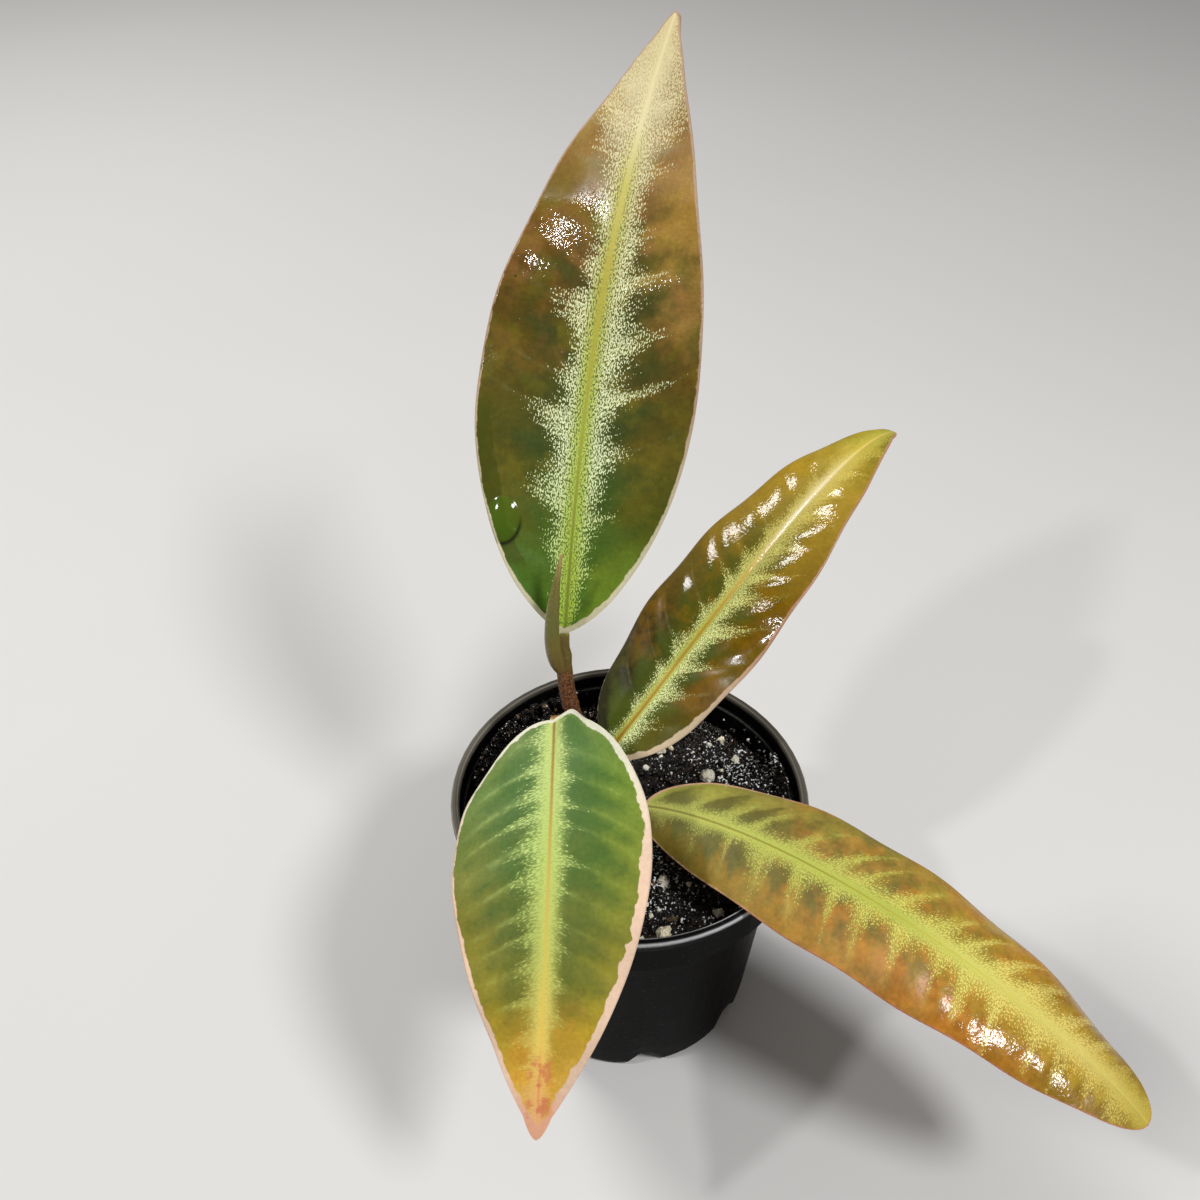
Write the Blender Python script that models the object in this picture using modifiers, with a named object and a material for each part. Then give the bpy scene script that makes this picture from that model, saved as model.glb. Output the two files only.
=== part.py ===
"""Potted labisia: a young plant with four grown leaves and a furled one, in a round nursery pot.

Driving dimensions are in millimetres and the model is in metres. +Z is up, the origin is the centre of the
pot's underside, and -Y is the side that the plant is usually seen from. The pot and the soil are turned, the
stem and the furled leaf are tapered tubes, and each grown leaf is a bent grid with a Solidify modifier, thin
in the blade and thick along its rib and petiole.
"""

import math
import random

import bmesh
import bpy
from mathutils import Matrix, Vector, noise

MM = 0.001
UP = Vector((0.0, 0.0, 1.0))
GAP = 0.3  # clearance between pieces that touch
MERGE_DISTANCE = 0.01

# Pot
POT_SIDES = 64
RIM_RADIUS = 45.0  # outside of the lip
RIM_HEIGHT = 74.0
WALL = 1.0
LIP_WIDTH = 2.2
LIP_STEPS = 6
BAND_HEIGHT = 12.0  # the straight band under the lip
BAND_STEP = 2.2  # how far the band stands out from the wall
LEDGE_HEIGHT = 69.5  # of the ledge inside the band
LEDGE_DEPTH = 1.2
LEDGE_ROUNDING = 0.4
SHOULDER_HEIGHT = 50.0  # below this the wall is a plain cone, above it the wall flares to the band
SHOULDER_RADIUS = 38.0
SHOULDER_STEPS = 3
BASE_RADIUS = 34.0
CORNER = 2.5  # rounding between wall and floor
CORNER_STEPS = 4
FEET = 8
ARCH_HEIGHT = 6.0  # how far the edge rises between two feet
ARCH_SHARE = 0.42  # share of the edge that the arches take
ARCH_AZIMUTH = -82.0  # degrees, of the arch that faces front
ARCH_REACH = 16.0  # height at which the arches have died out in the wall
FLOOR_FLAT_RADIUS = 18.0  # inside this the floor is flat
DRAIN_RADIUS = 2.4
DRAIN_SIDES = 12
DRAIN_PITCH_RADIUS = 27.0
DRAIN_DEPTH = 30.0

# Soil
SOIL_SIDES = 48
SOIL_LEVEL = 64.0
SOIL_RING_STEP = 3.6
HEAPS = ((37.0, 4.0, 3.5, 13.0), (-27.0, 30.0, 3.5, 13.0))  # x, y, height and reach of heaped soil
COARSE_CRUMBS = (0.9, 4.8)  # height, and size across
FINE_CRUMBS = (0.8, 1.8)
PERLITE_GRAINS = 42
PERLITE_RADII = (1.1, 2.6)
PERLITE_ROUGHNESS = (0.8, 1.15)
PERLITE_RISE = 0.15  # how far a grain's centre lies above the soil, in its radii
PERLITE_EDGE_SPACE = 1.5
PERLITE_SPACE = 0.8
STEM_SPACE = 5.0  # free of perlite round the stem
SOIL_SEED = 8

# Stem
STEM_ROUTE = ((1.0, 1.0, 35.5), (0.0, 2.5, 67.5), (-16.0, 5.0, 83.5), (-16.2, 11.0, 110.5))
STEM_RADII = (2.4, 1.9)  # at its foot and at its tip
STEM_BEVEL_RESOLUTION = 4
STEM_STEPS = 22

# Leaves. A midrib is a Bezier curve from base to tip of the blade, and a petiole runs from the stem to that
# base. Right and left are as seen from the base, looking to the tip, with the upper face up. Each pair of
# degrees is for the right and left side, except the roll, which is at the base and at the tip. Fold lifts a
# side, curl bends it from midrib to margin, and cup lifts it at the base only. Fullness is the roundness of
# base and tip, low for round.
LEAVES = {
    "leaf_tall": {
        "stem_share": 1.0,
        "midrib": ((-15.8, 11.5, 117.0), (-12.0, 39.0, 161.0), (-7.5, 60.0, 193.0), (9.5, 91.0, 232.5)),
        "half_width": 25.8,
        "fullness": (0.71, 0.98),
        "roll": (11.0, -13.0),
        "fold": (9.0, 7.0),
        "cup": (8.0, 8.0),
        "curl": (-4.0, -5.0),
    },
    "leaf_front": {
        "stem_share": 0.74,
        "midrib": ((-18.5, 2.5, 97.0), (-18.5, -34.5, 96.5), (-18.5, -59.0, 91.0), (-20.8, -82.5, 60.5)),
        "half_width": 22.8,
        "fullness": (0.62, 1.04),
        "roll": (10.0, -2.0),
        "fold": (3.0, 11.0),
        "cup": (10.0, 32.0),
        "curl": (-25.0, -22.0),
    },
    "leaf_back": {
        "stem_share": 0.44,
        "midrib": ((-5.0, 10.5, 77.2), (17.5, 25.0, 103.0), (54.5, 62.0, 139.5), (71.0, 74.5, 132.5)),
        "half_width": 19.6,
        "fullness": (0.46, 0.79),
        "roll": (0.0, -5.0),
        "fold": (27.0, 21.0),
        "cup": (0.0, 10.0),
        "curl": (-42.0, -44.0),
    },
    "leaf_low": {
        "stem_share": 0.4,
        "midrib": ((3.3, -5.0, 74.0), (36.0, -26.0, 95.0), (96.0, -62.5, 69.0), (109.0, -77.5, 57.0)),
        "half_width": 18.4,
        "fullness": (0.48, 0.51),
        "roll": (14.0, -8.0),
        "fold": (7.0, 8.0),
        "cup": (12.0, 0.0),
        "curl": (-41.0, -40.0),
    },
}
BLADE_THICKNESS = 0.7
RIB_THICKNESS = 2.2
RIB_HALF_WIDTH = 1.6
RIB_TAPER = 0.75  # share of the rib's extra thickness that is gone at the tip
PETIOLE_HALF_WIDTH = 1.1
PETIOLE_GAP = 0.8  # between the middle of its end and the stem, so that its corners clear the bark
PETIOLE_STIFFNESS = 0.4  # share of the petiole that keeps the blade's direction
PETIOLE_ROWS = 4
TIP_HALF_WIDTH = 0.45
SPREAD_REACH = 9.0  # how much wider than the petiole the blade is before it bends and waves in full
CUP_SHARE = 0.22  # share of the blade over which the cup dies out
MARGIN_WAVE = 0.6
MARGIN_WAVES = 4.5  # along the blade
BLADE_ROWS = 30
ROW_CROWDING = 0.6  # 0 leaves the rows even
HALF_COLUMNS = (0.07, 0.2, 0.45, 0.73, 1.0)  # shares of the half width
COLUMNS = tuple(-out for out in reversed(HALF_COLUMNS)) + (0.0,) + HALF_COLUMNS

# Furled leaf
SPEAR_ROUTE = ((-17.2, 9.2, 105.5), (-21.4, 7.0, 114.0), (-19.4, 9.5, 127.5), (-16.4, 13.0, 139.5))
SPEAR_RADII = ((0.0, 1.3), (0.3, 1.75), (0.6, 1.45), (1.0, 0.3))  # share of its length, and radius
SPEAR_BEVEL_RESOLUTION = 3
SPEAR_STEPS = 16

# Colours and roughness
POT_BLACK = (0.012, 0.012, 0.013, 1.0)
SOIL_BROWN = (0.022, 0.015, 0.010, 1.0)
STEM_RED = (0.16, 0.052, 0.028, 1.0)
SPEAR_OLIVE = (0.17, 0.15, 0.045, 1.0)
LEAF_COLOURS = {
    "leaf_tall": (0.12, 0.14, 0.03, 1.0),
    "leaf_front": (0.10, 0.19, 0.05, 1.0),
    "leaf_back": (0.19, 0.13, 0.02, 1.0),
    "leaf_low": (0.27, 0.19, 0.03, 1.0),
}
POT_ROUGHNESS = 0.35
SOIL_ROUGHNESS = 0.8
STEM_ROUGHNESS = 0.6
LEAF_ROUGHNESS = 0.3

# Scene helpers


def clear_scene():
    for obj in list(bpy.data.objects):
        bpy.data.objects.remove(obj)


def new_collection(name):
    collection = bpy.data.collections.new(name)
    bpy.context.scene.collection.children.link(collection)
    return collection


def material(name, colour, roughness):
    made = bpy.data.materials.new(name)
    made.use_nodes = True
    shader = made.node_tree.nodes["Principled BSDF"]
    shader.inputs["Base Color"].default_value = colour
    shader.inputs["Roughness"].default_value = roughness
    shader.inputs["Metallic"].default_value = 0.0
    return made


def add_object(name, data, collection):
    obj = bpy.data.objects.new(name, data)
    collection.objects.link(obj)
    return obj


def mark_cutter(obj):
    obj.hide_render = True
    obj.display_type = "WIRE"
    return obj


def mesh_from(shape, name):
    mesh = bpy.data.meshes.new(name)
    shape.to_mesh(mesh)
    shape.free()
    return mesh


def baked(obj, collection):
    """The object's evaluated shape as a plain mesh object of the same name and place, its seams welded."""
    graph = bpy.context.evaluated_depsgraph_get()
    graph.update()
    mesh = bpy.data.meshes.new_from_object(obj.evaluated_get(graph))
    welded = bmesh.new()
    welded.from_mesh(mesh)
    bmesh.ops.remove_doubles(welded, verts=welded.verts, dist=MERGE_DISTANCE * MM)
    welded.to_mesh(mesh)
    welded.free()
    name = obj.name
    matrix = obj.matrix_world.copy()
    bpy.data.objects.remove(obj)
    made = add_object(name, mesh, collection)
    made.matrix_world = matrix
    return made


def finished(obj, finish, angle=40.0):
    """The object with its material, and smooth where its faces meet at less than the angle."""
    obj.data.materials.append(finish)
    obj.data.shade_smooth()
    obj.data.set_sharp_from_angle(angle=math.radians(angle))
    return obj


def cut(obj, cutter):
    modifier = obj.modifiers.new("cut_" + cutter.name, "BOOLEAN")
    modifier.operation = "DIFFERENCE"
    modifier.object = cutter


# Curves and turned shapes


def bezier(points, share):
    a, b, c, d = (Vector(p) for p in points)
    rest = 1.0 - share
    return a * rest**3 + b * (3 * rest**2 * share) + c * (3 * rest * share**2) + d * share**3


def along(points, shares, steps=200):
    """Points of a Bezier curve at rising shares of its length."""
    fine = [bezier(points, i / steps) for i in range(steps + 1)]
    reached = [0.0]
    for before, after in zip(fine, fine[1:]):
        reached.append(reached[-1] + (after - before).length)
    made = []
    index = 0
    for share in shares:
        wanted = reached[-1] * share
        while index < steps - 1 and reached[index + 1] < wanted:
            index += 1
        part = (wanted - reached[index]) / (reached[index + 1] - reached[index])
        made.append(fine[index].lerp(fine[index + 1], min(1.0, part)))
    return made


def even_shares(count):
    return [step / count for step in range(count + 1)]


def tube(name, points, radii, resolution, collection):
    """A round bar along the points, with its own radius at each."""
    data = bpy.data.curves.new(name, "CURVE")
    data.dimensions = "3D"
    data.bevel_depth = MM
    data.bevel_resolution = resolution
    data.use_fill_caps = True
    spline = data.splines.new("POLY")
    spline.points.add(len(points) - 1)
    for knot, place, radius in zip(spline.points, points, radii):
        knot.co = (*(place * MM), 1.0)
        knot.radius = radius
    return baked(add_object(name, data, collection), collection)


def turned(name, profile, sides, collection):
    """A solid turned round Z from a profile of radii and heights that runs down its outer side."""
    mesh = bpy.data.meshes.new(name)
    points = [(radius * MM, 0.0, height * MM) for radius, height in profile]
    mesh.from_pydata(points, [(i, i + 1) for i in range(len(points) - 1)], [])
    obj = add_object(name, mesh, collection)
    screw = obj.modifiers.new("turn", "SCREW")
    screw.steps = sides
    screw.render_steps = sides
    screw.use_merge_vertices = True
    screw.merge_threshold = MERGE_DISTANCE * MM
    return baked(obj, collection)


def arc(radius, height, bend, start, end, steps):
    """Points of an arc of a profile about a centre, from one angle to another, in degrees from outward."""
    angles = [math.radians(start + (end - start) * share) for share in even_shares(steps)]
    return [(radius + bend * math.cos(a), height + bend * math.sin(a)) for a in angles]


# Pot


def band_radius():
    return RIM_RADIUS - LIP_WIDTH / 2


def band_foot():
    return RIM_HEIGHT - BAND_HEIGHT


def wall_radius(height):
    """Outer radius of the wall: a cone, and above it a curve that flares to the band."""
    if height <= SHOULDER_HEIGHT:
        return BASE_RADIUS + (SHOULDER_RADIUS - BASE_RADIUS) * height / SHOULDER_HEIGHT
    share = (height - SHOULDER_HEIGHT) / (band_foot() - SHOULDER_HEIGHT)
    return SHOULDER_RADIUS + (band_radius() - BAND_STEP - SHOULDER_RADIUS) * share**2


def shoulder_heights():
    flare = band_foot() - SHOULDER_HEIGHT
    return [SHOULDER_HEIGHT + flare * share for share in even_shares(SHOULDER_STEPS)]


def pot_profile():
    """The pot's section: inner floor, inner wall, ledge, lip, band, outer wall and underside."""
    inside = band_radius() - WALL
    floor_edge = BASE_RADIUS - CORNER
    middle = (FLOOR_FLAT_RADIUS + floor_edge) / 2
    heights = [ARCH_REACH / 2, ARCH_REACH] + shoulder_heights()
    lip = LIP_WIDTH / 2
    inner = [(0.0, WALL), (FLOOR_FLAT_RADIUS, WALL), (middle, WALL), (floor_edge, WALL)]
    inner += [(wall_radius(0.0) - WALL, WALL + CORNER)]
    inner += [(wall_radius(height) - WALL, height) for height in heights]
    inner += [(inside - LEDGE_DEPTH, LEDGE_HEIGHT - LEDGE_ROUNDING)]
    inner += [(inside - LEDGE_DEPTH + LEDGE_ROUNDING, LEDGE_HEIGHT), (inside, LEDGE_HEIGHT)]
    inner += [(inside, RIM_HEIGHT - 1.5 * LIP_WIDTH)]
    top = arc(band_radius(), RIM_HEIGHT - lip, lip, 180, 0, LIP_STEPS)
    outer = [(band_radius(), RIM_HEIGHT - 2 * LIP_WIDTH), (band_radius(), band_foot())]
    outer += [(wall_radius(height), height) for height in reversed(heights)]
    outer += arc(floor_edge, CORNER, CORNER, 0, -90, CORNER_STEPS)
    outer += [(middle, 0.0), (FLOOR_FLAT_RADIUS, 0.0), (0.0, 0.0)]
    return inner + top + outer


def arch_rise(radius, azimuth, height):
    """How far a point of the pot moves up, so that its lower edge arches between two feet."""
    turns = (math.degrees(azimuth) - ARCH_AZIMUTH) * FEET / 360
    off_centre = min(1.0, 2 * abs(turns - round(turns)) / ARCH_SHARE)
    across = math.cos(off_centre * math.pi / 2) ** 2
    inward = (radius - FLOOR_FLAT_RADIUS) / (BASE_RADIUS - CORNER - FLOOR_FLAT_RADIUS)
    inward = min(1.0, max(0.0, inward))
    inward = inward * inward * (3 - 2 * inward)
    upward = max(0.0, 1 - height / ARCH_REACH)
    return ARCH_HEIGHT * across * inward * upward


def raise_arches(mesh):
    for vertex in mesh.vertices:
        x, y, z = vertex.co / MM
        vertex.co.z += arch_rise(math.hypot(x, y), math.atan2(y, x), z) * MM


def drain_cutter(index, cutters):
    azimuth = math.radians(ARCH_AZIMUTH + 360 * index / FEET)
    radius = DRAIN_RADIUS * MM
    shape = bmesh.new()
    bmesh.ops.create_cone(
        shape, cap_ends=True, segments=DRAIN_SIDES, radius1=radius, radius2=radius, depth=DRAIN_DEPTH * MM
    )
    name = f"drain_{index + 1}"
    drain = mark_cutter(add_object(name, mesh_from(shape, name), cutters))
    drain.location.x = DRAIN_PITCH_RADIUS * math.cos(azimuth) * MM
    drain.location.y = DRAIN_PITCH_RADIUS * math.sin(azimuth) * MM
    return drain


def build_pot(parts, cutters, finish):
    """One arch and one drain hole lie between each two feet."""
    pot = turned("pot", pot_profile(), POT_SIDES, parts)
    raise_arches(pot.data)
    finished(pot, finish)
    for index in range(FEET):
        cut(pot, drain_cutter(index, cutters))


# Soil


def heaped(x, y):
    return sum(height * math.exp(-((x - a) ** 2 + (y - b) ** 2) / reach**2) for a, b, height, reach in HEAPS)


def crumbs(x, y):
    """Height of the crumbs at a place on the soil."""
    total = 0.0
    for height, size in (COARSE_CRUMBS, FINE_CRUMBS):
        total += height * noise.noise(Vector((x / size, y / size, size)))
    return total


def soil_radius():
    return wall_radius(band_foot()) - WALL - GAP


def soil_profile():
    """The soil's section: its top in rings, its side along the wall, and its underside above the arches."""
    rings = int(soil_radius() / SOIL_RING_STEP)
    top = [(soil_radius() * share, SOIL_LEVEL) for share in even_shares(rings)]
    heights = shoulder_heights()[-2::-1] + [ARCH_REACH]
    side = [(wall_radius(height) - WALL - GAP, height) for height in heights]
    foot = WALL + GAP
    under = [(BASE_RADIUS - CORNER, foot + ARCH_HEIGHT + WALL), (FLOOR_FLAT_RADIUS, foot), (0.0, foot)]
    return top + side + under


def raise_relief(mesh):
    """Crumbs and heaps on the soil's top. Its edge has the heaps only, and stays clear of the wall."""
    for vertex in mesh.vertices:
        x, y, z = vertex.co / MM
        if z < SOIL_LEVEL - GAP:
            continue
        inside = math.hypot(x, y) < soil_radius() - GAP
        vertex.co.z += (heaped(x, y) + (crumbs(x, y) if inside else 0.0)) * MM


def perlite_places(rng):
    """(x, y, radius) of each grain, clear of the stem, the pot and the other grains."""
    foot = bezier(STEM_ROUTE, 1 / 3)
    places = []
    while len(places) < PERLITE_GRAINS:
        radius = rng.uniform(*PERLITE_RADII)
        reach = (soil_radius() - radius - PERLITE_EDGE_SPACE) * math.sqrt(rng.random())
        azimuth = rng.uniform(0, 2 * math.pi)
        x = reach * math.cos(azimuth)
        y = reach * math.sin(azimuth)
        clear = math.hypot(x - foot.x, y - foot.y) > STEM_SPACE + radius
        if clear and all(math.hypot(x - a, y - b) > radius + other + PERLITE_SPACE for a, b, other in places):
            places.append((x, y, radius))
    return places


def perlite_grain(x, y, radius, rng):
    """One low-sided lump, sunk about halfway into the soil."""
    grain = bmesh.new()
    bmesh.ops.create_icosphere(grain, subdivisions=1, radius=radius * MM)
    for vertex in grain.verts:
        vertex.co *= rng.uniform(*PERLITE_ROUGHNESS)
    height = SOIL_LEVEL + heaped(x, y) + crumbs(x, y) + PERLITE_RISE * radius
    turn = Matrix.Rotation(rng.uniform(0, 2 * math.pi), 4, "Z")
    grain.transform(Matrix.Translation(Vector((x, y, height)) * MM) @ turn)
    return grain


def build_soil(parts, cutters, stem_room, finish):
    soil = turned("soil", soil_profile(), SOIL_SIDES, parts)
    raise_relief(soil.data)
    finished(soil, finish, angle=25.0)
    grains = bpy.data.collections.new("perlite")
    cutters.children.link(grains)
    rng = random.Random(SOIL_SEED)
    for index, (x, y, radius) in enumerate(perlite_places(rng)):
        name = f"perlite_{index + 1}"
        mark_cutter(add_object(name, mesh_from(perlite_grain(x, y, radius, rng), name), grains))
    join = soil.modifiers.new("perlite", "BOOLEAN")
    join.operation = "UNION"
    join.operand_type = "COLLECTION"
    join.collection = grains
    cut(soil, stem_room)


# Stem and furled leaf


def stem_radius(share):
    return STEM_RADII[0] + (STEM_RADII[1] - STEM_RADII[0]) * share


def build_stem(parts, cutters, finish):
    """Makes the stem, and returns the cutter that keeps its neighbours clear of it."""
    points = along(STEM_ROUTE, even_shares(STEM_STEPS))
    radii = [stem_radius(share) for share in even_shares(STEM_STEPS)]
    stem = tube("stem", points, radii, STEM_BEVEL_RESOLUTION, parts)
    finished(stem, finish)
    points[0] += (points[0] - points[1]).normalized() * GAP
    points[-1] += (points[-1] - points[-2]).normalized() * GAP
    wide = [radius + GAP for radius in radii]
    return mark_cutter(tube("stem_room", points, wide, STEM_BEVEL_RESOLUTION, cutters))


def spear_radius(share):
    for (start, first), (end, second) in zip(SPEAR_RADII, SPEAR_RADII[1:]):
        if share <= end:
            return first + (second - first) * (share - start) / (end - start)
    return SPEAR_RADII[-1][1]


def build_spear(parts, stem_room, finish):
    """The furled leaf, whose foot is hollowed where it clasps the stem."""
    points = along(SPEAR_ROUTE, even_shares(SPEAR_STEPS))
    radii = [spear_radius(share) for share in even_shares(SPEAR_STEPS)]
    spear = tube("leaf_spear", points, radii, SPEAR_BEVEL_RESOLUTION, parts)
    finished(spear, finish)
    cut(spear, stem_room)


# Grown leaves


def blade_shares():
    """Shares of a blade's length at its rows, closer together at both ends, where the outline is rounder."""
    return [t - ROW_CROWDING * math.sin(2 * math.pi * t) / (2 * math.pi) for t in even_shares(BLADE_ROWS)]


def blade_half_width(leaf, share):
    """Half width of the blade at a share of its length."""
    if share <= 0.0 or share >= 1.0:
        return 0.0
    base, tip = leaf["fullness"]
    widest = base / (base + tip)
    return leaf["half_width"] * (share / widest) ** base * ((1 - share) / (1 - widest)) ** tip


def spread(half_width):
    """0 on the petiole and 1 where the blade is wide enough to bend and wave in full."""
    return min(1.0, max(0.0, (half_width - PETIOLE_HALF_WIDTH) / SPREAD_REACH))


def section(leaf, out, share, half_width):
    """Across and up, in half widths, of a place on the bent cross-section. Out is 1 at the right margin."""
    side = 0 if out > 0 else 1
    cup = leaf["cup"][side] * max(0.0, 1 - share / CUP_SHARE) ** 2
    lift = math.radians(leaf["fold"][side] + cup) * spread(half_width)
    curl = math.radians(leaf["curl"][side]) * spread(half_width)
    if abs(curl) < 0.001:
        return out * math.cos(lift), abs(out) * math.sin(lift)
    end = lift + curl * abs(out)
    across = (math.sin(end) - math.sin(lift)) / curl
    return math.copysign(across, out), (math.cos(lift) - math.cos(end)) / curl


def direction(points, index):
    before = points[max(0, index - 1)]
    after = points[min(len(points) - 1, index + 1)]
    return (after - before).normalized()


def leaf_frame(places, index, roll):
    """Right-hand and upward directions of the leaf at a row. The petiole keeps those of the blade."""
    tangent = direction(places, index)
    level = direction(places, max(index, PETIOLE_ROWS + 1)).cross(UP)
    right = (level - tangent * level.dot(tangent)).normalized()
    turn = Matrix.Rotation(math.radians(roll), 3, tangent)
    return turn @ right, turn @ right.cross(tangent)


def petiole_start(leaf, base, lead):
    """The upper face of the petiole's end, just beside the stem or above its tip."""
    share = leaf["stem_share"]
    centre = bezier(STEM_ROUTE, share)
    run = (centre - bezier(STEM_ROUTE, share - 0.01)).normalized()
    away = base - centre
    outward = (away - run * away.dot(run)).normalized() * (stem_radius(share) + PETIOLE_GAP)
    if share == 1.0:
        outward = run * GAP
    upward = lead.cross(UP).normalized().cross(lead)
    return centre + outward + upward * (RIB_THICKNESS / 2)


def leaf_rows(leaf):
    """(place on the midrib, half width, roll, share of the blade) of each row, stem end first."""
    shares = blade_shares()
    blade = along(leaf["midrib"], shares)
    base = blade[0]
    lead = (blade[1] - base).normalized()
    start = petiole_start(leaf, base, lead)
    stiff = (base - start).length * PETIOLE_STIFFNESS
    route = (start, start.lerp(base, PETIOLE_STIFFNESS), base - lead * stiff, base)
    first_roll, last_roll = leaf["roll"]
    rows = []
    for place in along(route, even_shares(PETIOLE_ROWS))[:-1]:
        rows.append((place, PETIOLE_HALF_WIDTH, first_roll, 0.0))
    for place, share in zip(blade, shares):
        narrowest = PETIOLE_HALF_WIDTH if share < 0.5 else TIP_HALF_WIDTH
        half_width = max(blade_half_width(leaf, share), narrowest)
        rows.append((place, half_width, first_roll + (last_roll - first_roll) * share, share))
    return rows


def margin_wave(out, share, half_width):
    phase = 2 * math.pi * MARGIN_WAVES * share + math.copysign(1.0, out)
    return MARGIN_WAVE * spread(half_width) * math.sin(phase) * abs(out) ** 3


def thickness(out, share, half_width):
    """Thickness of the leaf: thick along the rib, less so towards the tip."""
    rib = math.exp(-((out * half_width / RIB_HALF_WIDTH) ** 2)) * (1 - RIB_TAPER * share)
    return BLADE_THICKNESS + (RIB_THICKNESS - BLADE_THICKNESS) * rib


def bend_leaf(grid, leaf):
    """Bends a flat grid into the leaf's upper face, and returns the thickness at each of its points."""
    rows = leaf_rows(leaf)
    places = [row[0] for row in rows]
    thicknesses = []
    for vertex in grid.verts:
        out = COLUMNS[round((vertex.co.x + 1) / 2 * (len(COLUMNS) - 1))]
        index = round((vertex.co.y + 1) / 2 * (len(rows) - 1))
        place, half_width, roll, share = rows[index]
        right, upward = leaf_frame(places, index, roll)
        across, rise = section(leaf, out, share, half_width)
        height = half_width * rise + margin_wave(out, share, half_width)
        vertex.co = (place + right * (half_width * across) + upward * height) * MM
        thicknesses.append(thickness(out, share, half_width))
    return thicknesses


def build_leaf(name, leaf, parts, finish):
    """One leaf with its petiole. Its triangles run alike on both faces, because the grid is split first."""
    grid = bmesh.new()
    last_row = PETIOLE_ROWS + BLADE_ROWS
    bmesh.ops.create_grid(grid, x_segments=len(COLUMNS) - 1, y_segments=last_row, size=1.0)
    thicknesses = bend_leaf(grid, leaf)
    bmesh.ops.triangulate(grid, faces=grid.faces)
    obj = add_object(name, mesh_from(grid, name), parts)
    group = obj.vertex_groups.new(name="thickness")
    for index, wanted in enumerate(thicknesses):
        group.add([index], wanted / RIB_THICKNESS, "REPLACE")
    shell = obj.modifiers.new("thickness", "SOLIDIFY")
    shell.thickness = RIB_THICKNESS * MM
    shell.offset = -1.0
    shell.vertex_group = group.name
    finished(obj, finish, angle=50.0)


def main():
    clear_scene()
    parts = new_collection("potted_labisia")
    cutters = new_collection("cutters")
    build_pot(parts, cutters, material("pot_plastic", POT_BLACK, POT_ROUGHNESS))
    stem_room = build_stem(parts, cutters, material("stem_bark", STEM_RED, STEM_ROUGHNESS))
    build_soil(parts, cutters, stem_room, material("potting_mix", SOIL_BROWN, SOIL_ROUGHNESS))
    for name, leaf in LEAVES.items():
        build_leaf(name, leaf, parts, material(name, LEAF_COLOURS[name], LEAF_ROUGHNESS))
    build_spear(parts, stem_room, material("leaf_spear", SPEAR_OLIVE, LEAF_ROUGHNESS))


main()
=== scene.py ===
"""Looks of the potted labisia: veined and speckled leaves, bark, wet soil with perlite, and a black pot.

Shapes are worked out in millimetres and written in metres. Each leaf repeats the formula of its solid with
many more points, and carries its own coordinates, in millimetres along and across the blade, for its
procedural material.
"""

import math
import random
from functools import cached_property

import bmesh
import bpy
import numpy as np
from mathutils import Euler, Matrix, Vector, noise


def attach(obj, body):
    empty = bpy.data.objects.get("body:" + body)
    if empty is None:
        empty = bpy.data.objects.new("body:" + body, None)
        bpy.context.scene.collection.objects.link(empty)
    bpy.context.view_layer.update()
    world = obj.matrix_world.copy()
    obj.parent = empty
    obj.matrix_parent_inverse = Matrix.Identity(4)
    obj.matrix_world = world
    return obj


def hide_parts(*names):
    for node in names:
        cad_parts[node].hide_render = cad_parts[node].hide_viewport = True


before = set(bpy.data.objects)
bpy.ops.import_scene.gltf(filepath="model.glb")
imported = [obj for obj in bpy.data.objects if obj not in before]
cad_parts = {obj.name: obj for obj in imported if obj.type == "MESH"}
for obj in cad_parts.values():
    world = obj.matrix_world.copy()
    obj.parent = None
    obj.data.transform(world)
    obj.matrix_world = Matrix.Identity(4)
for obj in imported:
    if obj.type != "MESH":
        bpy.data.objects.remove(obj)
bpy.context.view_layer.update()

MM = 0.001
UP = np.array([0.0, 0.0, 1.0])

# Leaves, as in the solids

LEAVES = {
    "leaf_tall": {
        "stem_share": 1.0,
        "midrib": ((-15.8, 11.5, 117.0), (-12.0, 39.0, 161.0), (-7.5, 60.0, 193.0), (9.5, 91.0, 232.5)),
        "half_width": 25.8,
        "fullness": (0.71, 0.98),
        "roll": (11.0, -13.0),
        "fold": (9.0, 7.0),
        "cup": (8.0, 8.0),
        "curl": (-4.0, -5.0),
    },
    "leaf_front": {
        "stem_share": 0.74,
        "midrib": ((-18.5, 2.5, 97.0), (-18.5, -34.5, 96.5), (-18.5, -59.0, 91.0), (-20.8, -82.5, 60.5)),
        "half_width": 22.8,
        "fullness": (0.62, 1.04),
        "roll": (10.0, -2.0),
        "fold": (3.0, 11.0),
        "cup": (10.0, 32.0),
        "curl": (-25.0, -22.0),
    },
    "leaf_back": {
        "stem_share": 0.44,
        "midrib": ((-5.0, 10.5, 77.2), (17.5, 25.0, 103.0), (54.5, 62.0, 139.5), (71.0, 74.5, 132.5)),
        "half_width": 19.6,
        "fullness": (0.46, 0.79),
        "roll": (0.0, -5.0),
        "fold": (27.0, 21.0),
        "cup": (0.0, 10.0),
        "curl": (-42.0, -44.0),
    },
    "leaf_low": {
        "stem_share": 0.4,
        "midrib": ((3.3, -5.0, 74.0), (36.0, -26.0, 95.0), (96.0, -62.5, 69.0), (109.0, -77.5, 57.0)),
        "half_width": 18.4,
        "fullness": (0.48, 0.51),
        "roll": (14.0, -8.0),
        "fold": (7.0, 8.0),
        "cup": (12.0, 0.0),
        "curl": (-41.0, -40.0),
    },
}
STEM_ROUTE = ((1.0, 1.0, 35.5), (0.0, 2.5, 67.5), (-16.0, 5.0, 83.5), (-16.2, 11.0, 110.5))
STEM_RADII = (2.4, 1.9)
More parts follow.
